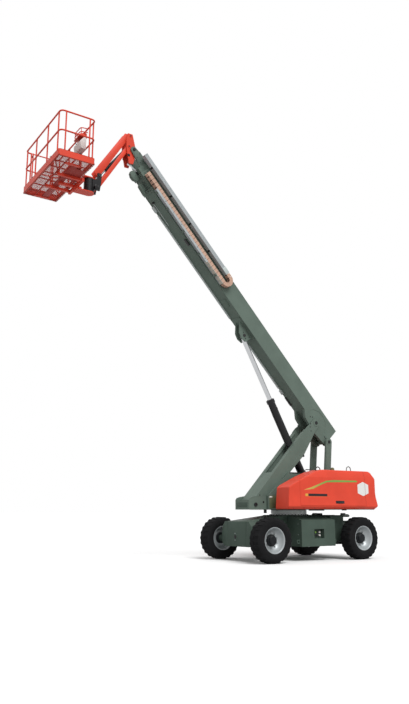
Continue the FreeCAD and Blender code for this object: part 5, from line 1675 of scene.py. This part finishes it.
# ------------------------------------------------------------------ platform
@dataclass
class Platform:
    """The work platform: mesh floor, toe boards, rails' fittings, console and gate."""

    half_x: float = 1.16
    front: float = -7.283
    rear: float = -6.408
    floor: float = 8.857
    deck: float = 8.897
    toe: float = 9.017
    mid_rail: float = 9.4966
    top_rail: float = 9.976
    rail_x: float = 1.141
    post_x: tuple[float, ...] = (-1.031, -.38, .38, 1.031)
    post_r: float = .019
    swivel_y: float = -6.040
    console_rear: float = -6.4468
    console_low: float = 9.4536
    console_high: float = 9.7556

    def build(self, shop: Workshop) -> None:
        """Builds the platform from the floor up."""
        self.frame(shop)
        self.mesh(shop)
        self.toe_boards(shop)
        self.rail_fittings(shop)
        self.console(shop)
        self.mount_trim(shop)

    def frame(self, shop: Workshop) -> None:
        """The floor's frame: a rim, long and cross members, a diagonal, the main beam and its channels."""
        y0, y1, x = self.front, self.rear, self.half_x
        low, high = self.floor, self.deck - .006
        parts = [Bench.block("rim", (-x + .004, y, low), (x - .004, y + .035, high), .004)
                for y in (y0 + .004, y1 - .039)]
        parts += [Bench.block("rim", (a, y0 + .02, low), (a + .035, y1 - .02, high), .004)
                for a in (-x + .004, x - .039)]
        parts += [Bench.block("cross", (a - .011, y0 + .02, low + .010), (a + .011, y1 - .02, high), .003)
                for a in (-.85, -.50, -.15, .20, .55, .85)]
        parts.append(Bench.block("long", (-x + .02, -7.013, low + .004), (x - .02, -6.989, high), .003))
        run = [Vector((-.15, -6.70, 0)), Vector((.85, y0 + .05, 0))]
        direction = (run[1] - run[0]).normalized()
        wide = Vector((-direction.y, direction.x, 0)) * .011
        parts.append(Bench.plate("diagonal", [(p.x, p.y) for p in (run[0] + wide, run[1] + wide,
                run[1] - wide, run[0] - wide)], Axis.Z, low + .006, high - .002, .002))
        shop.add(Bench.join("floor_frame", parts), "platform", RED_SHADE, "orange_paint",
                ["platform_floor"])
        beam = [Bench.block("beam", (-x + .02, -6.835, low + .001), (x - .30, -6.685, high - .002), .006),
                Bench.block("panel", (.14, -6.69, low + .003), (.74, y1 - .03, low + .010), .002)]
        shop.add(Bench.join("floor_beam", beam), "platform", MAROON, "orange_paint")
        channels = [Bench.block("channel", (a - .045, start, low - deep), (a + .045, end, low + .004),
                .008) for a, start, end, deep in ((-.06, -6.78, -6.215, .055), (.90, -7.02, -6.66, .020),
                (-1.07, -7.02, -6.62, .012))]
        shop.add(Bench.join("floor_channels", channels), "platform", ORANGE, "orange_paint")
        holes = [Bench.block("hole", (-x + .05 + .11 * k, y1 - .032, low - .0008), (-x + .10 + .11 * k,
                y1 - .012, low + .002)) for k in range(21)]
        holes += [Bench.block("hole", (-x + .012, y0 + .05 + .11 * k, low - .0008),
                (-x + .032, y0 + .10 + .11 * k, low + .002)) for k in range(7)]
        shop.add(Bench.join("rim_holes", holes), "platform", PALE, "orange_paint")

    def mesh(self, shop: Workshop) -> None:
        """The expanded metal: two families of slanting strands cut to the frame."""
        reach, spacing, slant = 2.9, .020, math.radians(27)
        centre = Vector((0, (self.front + self.rear) / 2, self.deck - .004))
        strand = Bench.block("strand", (-reach / 2, -.003, -.002), (reach / 2, .003, .002))
        parts = []
        for lean in (slant, -slant):
            for k in range(-46, 47):
                place = Matrix.Translation(centre) @ Matrix.Rotation(lean, 4, "Z") @ Matrix.Translation((0,
                        k * spacing, 0))
                parts.append(Bench.copy(strand, "strand", place))
        bpy.data.objects.remove(strand)
        sheet = Bench.join("floor_mesh", parts)
        for at, out in (((self.half_x - .02, 0, 0), (1, 0, 0)), ((-self.half_x + .02, 0, 0), (-1, 0, 0)),
                ((0, self.rear - .02, 0), (0, 1, 0)), ((0, self.front + .02, 0), (0, -1, 0))):
            Bench.slice(sheet, at, out)
        shop.add(sheet, "platform", RED_SHADE, "orange_paint")

    def ring(self, inset: float, bend: float) -> list[tuple[float, float]]:
        """The platform's plan outline with rounded corners."""
        x, y0, y1 = self.half_x - inset, self.front + inset, self.rear - inset
        corners = [Vector((x, y0, 0)), Vector((x, y1, 0)), Vector((-x, y1, 0)), Vector((-x, y0, 0))]
        return [(p.x, p.y) for p in Bench.rounded(corners, bend, True)]

    def toe_boards(self, shop: Workshop) -> None:
        """The sheet round the floor, folded at its top, with the posts' feet."""
        board = Bench.plate("toe_board", self.ring(.0005, .055), Axis.Z, self.floor + .010, self.toe)
        Bench.cut(board, Bench.plate("toe_inside", self.ring(.0055, .050), Axis.Z, self.floor,
                self.toe + .1))
        lip = Bench.plate("toe_lip", self.ring(.0005, .055), Axis.Z, self.toe - .004, self.toe)
        Bench.cut(lip, Bench.plate("lip_inside", self.ring(.018, .040), Axis.Z, self.floor, self.toe + .1))
        shop.add(Bench.join("toe_boards", [Bench.smooth(board), lip]), "platform", ORANGE, "orange_paint")
        feet = []
        for x in self.post_x:
            for y in (self.front + self.post_r, self.rear - self.post_r):
                feet.append(Bench.block("foot", (x - .045, y - .012, self.toe - .07), (x + .045, y + .012,
                        self.toe + .006), .003, 1))
        shop.add(Bench.join("post_feet", feet), "platform", ORANGE, "orange_paint")

    def rail_fittings(self, shop: Workshop) -> None:
        """The hoop round the console, the diagonal brace, the clamps and the ring bolts."""
        y = self.rear - self.post_r
        hoops = []
        for drop in (.0, .10):
            z = self.top_rail - drop
            hoops.append(Bench.pipe("hoop", [(.28, y, z), (.31, y - .17, z), (.69, y - .17, z),
                    (.72, y, z)], .012, bend=.07))
        hoops += [Bench.rod("strut", (a, y - .15, z - .10), (a, y - .15, z + .10), .009, 12)
                for a in (.32, .68)]
        shop.add(Bench.join("console_hoops", hoops), "platform", ORANGE, "orange_paint")
        x = -self.rail_x + .11
        brace = [(x, self.rear - .03, self.toe + .02), (x, self.rear - .30, self.mid_rail - .02)]
        shop.add(Bench.pipe("gate_brace", brace, .011), "platform", ORANGE, "orange_paint")
        clamps = []
        for post_x in self.post_x:
            for post_y in (self.front + self.post_r, self.rear - self.post_r):
                for z in (self.mid_rail, self.top_rail - .005):
                    clamps.append(Bench.rod("joint", (post_x, post_y, z - .030), (post_x, post_y, z - .006),
                            .0185, 16, .003))
        shop.add(Bench.join("rail_joints", clamps), "platform", ORANGE, "orange_paint")
        latch = Bench.block("gate_latch", (-self.rail_x - .012, self.front + .145, self.top_rail - .10),
                (-self.rail_x + .016, self.front + .20, self.top_rail - .06), .004)
        shop.add(latch, "gate", BLACK, "black_paint")
        rings = [Bench.turned("tie_ring", [(a, .018), (a, .026), (a + .008, .026), (a + .008, .018)],
                (0, place, self.toe + .035), Axis.X, 20) for a, place in ((.60, self.front + .032),
                (-.60, self.front + .032))]
        shop.add(Bench.join("harness_rings", rings), "platform", BOLT, "bare_steel")

    def console(self, shop: Workshop) -> None:
        """The control box: sloping face, hood, levers, keys and its foot switch."""
        rear, low, high = self.console_rear, self.console_low, self.console_high
        side = [(rear, low), (rear, high - .012), (rear - .045, high), (rear - .060, high - .004),
                (rear - .150, high - .115), (rear - .153, high - .135), (rear - .125, low + .01),
                (rear - .11, low)]
        body = Bench.plate("console_body", side, Axis.X, .302, .698, .010, 3)
        shop.add(body, "platform", PLASTIC, "console_plastic", ["control_console"])
        slope = Vector((0, -.090, -.111)).normalized()
        out = Vector((0, -.111, .090)).normalized()
        start = Vector((0, rear - .062, high - .006))
        panel = [start + slope * a + out * b for a, b in ((.008, -.004), (.130, -.004), (.130, .002),
                (.008, .002))]
        face = Bench.plate("console_face", [(p.y, p.z) for p in panel], Axis.X, .325, .675)
        shop.add(face, "platform", DARK_PLASTIC_AND_SHADE, "console_plastic")
        levers, keys, red = [], [], []
        for x, length in ((.37, .052), (.63, .052)):
            foot = start + slope * .07 + Vector((x, 0, 0))
            levers.append(Bench.turned("boot", [(0, 0), (0, .022), (.010, .018), (.020, .009), (.020, 0)],
                    (0, 0, 0), Axis.Z, 20))
            Bench.moved(levers[-1], Matrix.Translation(foot) @ out.to_track_quat("Z",
                    "Y").to_matrix().to_4x4())
            levers.append(Bench.rod("stick", foot, foot + out * length, .006, 12, .002, .009))
        for k in range(8):
            at = start + slope * (.035 + .045 * (k % 2)) + Vector((.425 + .045 * (k // 2), 0, 0))
            keys.append(Bench.rod("key", at, at + out * .008, .009, 12, .0015))
        stop = start + slope * .10 + Vector((.50, 0, 0))
        red.append(Bench.rod("stop", stop, stop + out * .016, .015, 20, .004, .018))
        shop.add(Bench.join("console_levers", levers), "platform", HOSE, "console_plastic")
        shop.add(Bench.join("console_keys", keys), "platform", PALE, "console_plastic")
        shop.add(Bench.join("console_stop", red), "platform", STOP_RED, "console_plastic")
        hose = [(.40, rear - .03, low + .01), (.40, rear - .03, low - .12), (.34, rear - .01,
                self.toe + .20), (.20, rear - .01, self.toe + .04), (.10, rear - .02, self.deck + .02)]
        for number, shift in enumerate((0.0, .026, .05)):
            route = [(x + shift, y, z) for x, y, z in hose]
            shop.add(Bench.pipe(f"console_hose_{number}", route, .009, bend=.06), "platform", HOSE,
                    "black_paint")
        cover = Bench.plate("console_cover", [(rear + .012, high - .02), (rear + .012, high + .10),
                (rear - .02, high + .12), (rear - .15, high + .075), (rear - .165, high + .03),
                (rear - .04, high + .045), (rear - .012, high - .02)], Axis.X, .31, .69, .006)
        shop.add(cover, "platform", ORANGE, "orange_paint")
        pedal = Bench.block("foot_switch", (.56, self.rear - .30, self.deck), (.74, self.rear - .16,
                self.deck + .05), .014, 3)
        shop.add(pedal, "platform", BLACK, "black_paint")

    def mount_trim(self, shop: Workshop) -> None:
        """The ribs and bolts of the bracket between the rotator and the platform."""
        seat = self.rear + .008
        ribs = []
        for s in (-1, 1):
            outline = [(seat + .028, 8.72), (seat + .20, 8.715), (seat + .05, 8.79), (seat + .028, 8.86)]
            ribs.append(Bench.plate("rib", outline, Axis.X, s * .10, s * .112, .002, 1))
            outline = [(seat + .028, 9.112), (seat + .18, 9.112), (seat + .05, 9.03), (seat + .028, 8.99)]
            ribs.append(Bench.plate("rib", outline, Axis.X, s * .10, s * .112, .002, 1))
        shop.add(Bench.join("mount_ribs", ribs), "platform", ORANGE, "orange_paint")
        disc = Bench.turned("mount_disc", [(9.1145, 0), (9.1145, .110), (9.126, .105), (9.128, .05),
                (9.150, .045), (9.150, 0)], (0, self.swivel_y, 0), Axis.Z, 40)
        shop.add(disc, "platform", ORANGE, "orange_paint")
        bolts = []
        for k in range(8):
            angle = math.tau * (k + .5) / 8
            at = Vector((.085 * math.cos(angle), self.swivel_y + .085 * math.sin(angle), 9.124))
            bolts.append(Bench.rod("bolt", at, at + Vector((0, 0, .014)), .010, 6))
        shop.add(Bench.join("mount_bolts", bolts), "platform", BOLT, "bare_steel")


# ------------------------------------------------------------------ studio
@dataclass
class Studio:
    """The pale floor, the soft lights and the camera."""

    camera_at: Triple = (14.45, -12.20, 1.21)
    yaw: float = math.radians(-56.6)
    pitch: float = math.radians(13.0)
    lens: float = 35.3
    floor_half: float = 400.0
    floor_tone: float = 0.99
    sky_strength: float = 0.60

    def build(self) -> None:
        """Makes the camera, the floor and the lights."""
        self.camera()
        self.floor()
        self.world()
        self.sun("key_light", (0.62, -0.04, 0.78), 2.0, 34.0)
        self.sun("fill_light", (0.90, -0.35, 0.30), 0.32, 50.0)

    def camera(self) -> None:
        """Sets up the camera at its viewing angle."""
        bpy.ops.object.camera_add(location=self.camera_at)
        camera = bpy.context.object
        camera.name = "camera"
        forward = Vector((math.sin(self.yaw) * math.cos(self.pitch),
                math.cos(self.yaw) * math.cos(self.pitch), math.sin(self.pitch)))
        camera.rotation_euler = forward.to_track_quat("-Z", "Y").to_euler()
        camera.data.lens = self.lens
        camera.data.sensor_width = 36.0
        camera.data.sensor_fit = "AUTO"
        camera.data.clip_end = 500.0
        bpy.context.scene.camera = camera

    def floor(self) -> None:
        """A white floor that shows the object's shadow, and shows white where no shadow falls."""
        bpy.ops.mesh.primitive_plane_add(size=2 * self.floor_half)
        floor = bpy.context.object
        floor.name = "floor"
        made = bpy.data.materials.new("floor_white")
        made.use_nodes = True
        tree = made.node_tree
        shader = tree.nodes["Principled BSDF"]
        shader.inputs["Roughness"].default_value = 0.95
        shader.inputs["Specular IOR Level"].default_value = 0.0
        seen = self.seen_directly(tree)
        shade = Finish.mix(tree, seen, (0.38, 0.38, 0.38), (self.floor_tone,) * 3)
        tree.links.new(shade, shader.inputs["Base Color"])
        floor.data.materials.append(made)

    @staticmethod
    def seen_directly(tree: Nodes) -> Socket:
        """Is 1 for what the camera sees, also in a mirror or through glass.

        Args:
            tree: The nodes of the floor's material or of the world.

        Returns:
            The factor's socket.
        """
        rays = tree.nodes.new("ShaderNodeLightPath")
        either = Finish.node(tree, "ShaderNodeMath", operation="MAXIMUM")
        seen = Finish.node(tree, "ShaderNodeMath", operation="MAXIMUM")
        tree.links.new(rays.outputs["Is Glossy Ray"], either.inputs[0])
        tree.links.new(rays.outputs["Is Transmission Ray"], either.inputs[1])
        tree.links.new(rays.outputs["Is Camera Ray"], seen.inputs[0])
        tree.links.new(either.outputs[0], seen.inputs[1])
        return seen.outputs[0]

    def world(self) -> None:
        """A soft, even sky that the camera and the reflections see as white."""
        world = bpy.data.worlds.new("studio_world")
        bpy.context.scene.world = world
        world.use_nodes = True
        tree = world.node_tree
        sky = tree.nodes["Background"]
        sky.inputs["Color"].default_value = (1, 1, 1, 1)
        sky.inputs["Strength"].default_value = self.sky_strength
        white = Finish.node(tree, "ShaderNodeBackground", Strength=1.0)
        white.inputs["Color"].default_value = (1, 1, 1, 1)
        chosen = tree.nodes.new("ShaderNodeMixShader")
        tree.links.new(self.seen_directly(tree), chosen.inputs[0])
        tree.links.new(sky.outputs[0], chosen.inputs[1])
        tree.links.new(white.outputs[0], chosen.inputs[2])
        tree.links.new(chosen.outputs[0], tree.nodes["World Output"].inputs[0])
        bpy.context.scene.view_settings.view_transform = "Standard"

    @staticmethod
    def sun(name: str, toward: Point, strength: float, softness: float) -> None:
        """A far soft light.

        Args:
            name: The light's name.
            toward: The direction in which it stands.
            strength: Its strength.
            softness: Its apparent width in degrees.
        """
        bpy.ops.object.light_add(type="SUN", location=Vector(toward) * 30)
        sun = bpy.context.object
        sun.name = name
        sun.data.energy = strength
        sun.data.angle = math.radians(softness)
        sun.rotation_euler = Vector(toward).to_track_quat("Z", "Y").to_euler()


def main() -> None:
    """Builds the studio and dresses the machine, piece by piece."""
    logging.basicConfig(level=logging.INFO, format="%(message)s")
    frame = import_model()
    shop = Workshop(frame)
    Studio().build()
    boom = Boom()
    assemblies = [Wheel(), Chassis(), Turntable(), Cowl(Side.LEFT), Cowl(Side.RIGHT, shorter=.47),
            Linkage(), boom, CableCarrier(boom), Jib(), Platform()]
    for assembly in assemblies:
        LOG.info("building %s", type(assembly).__name__)
        assembly.build(shop)
    LOG.info("%d pieces were added", shop.count)


if __name__ == "__main__":
    main()
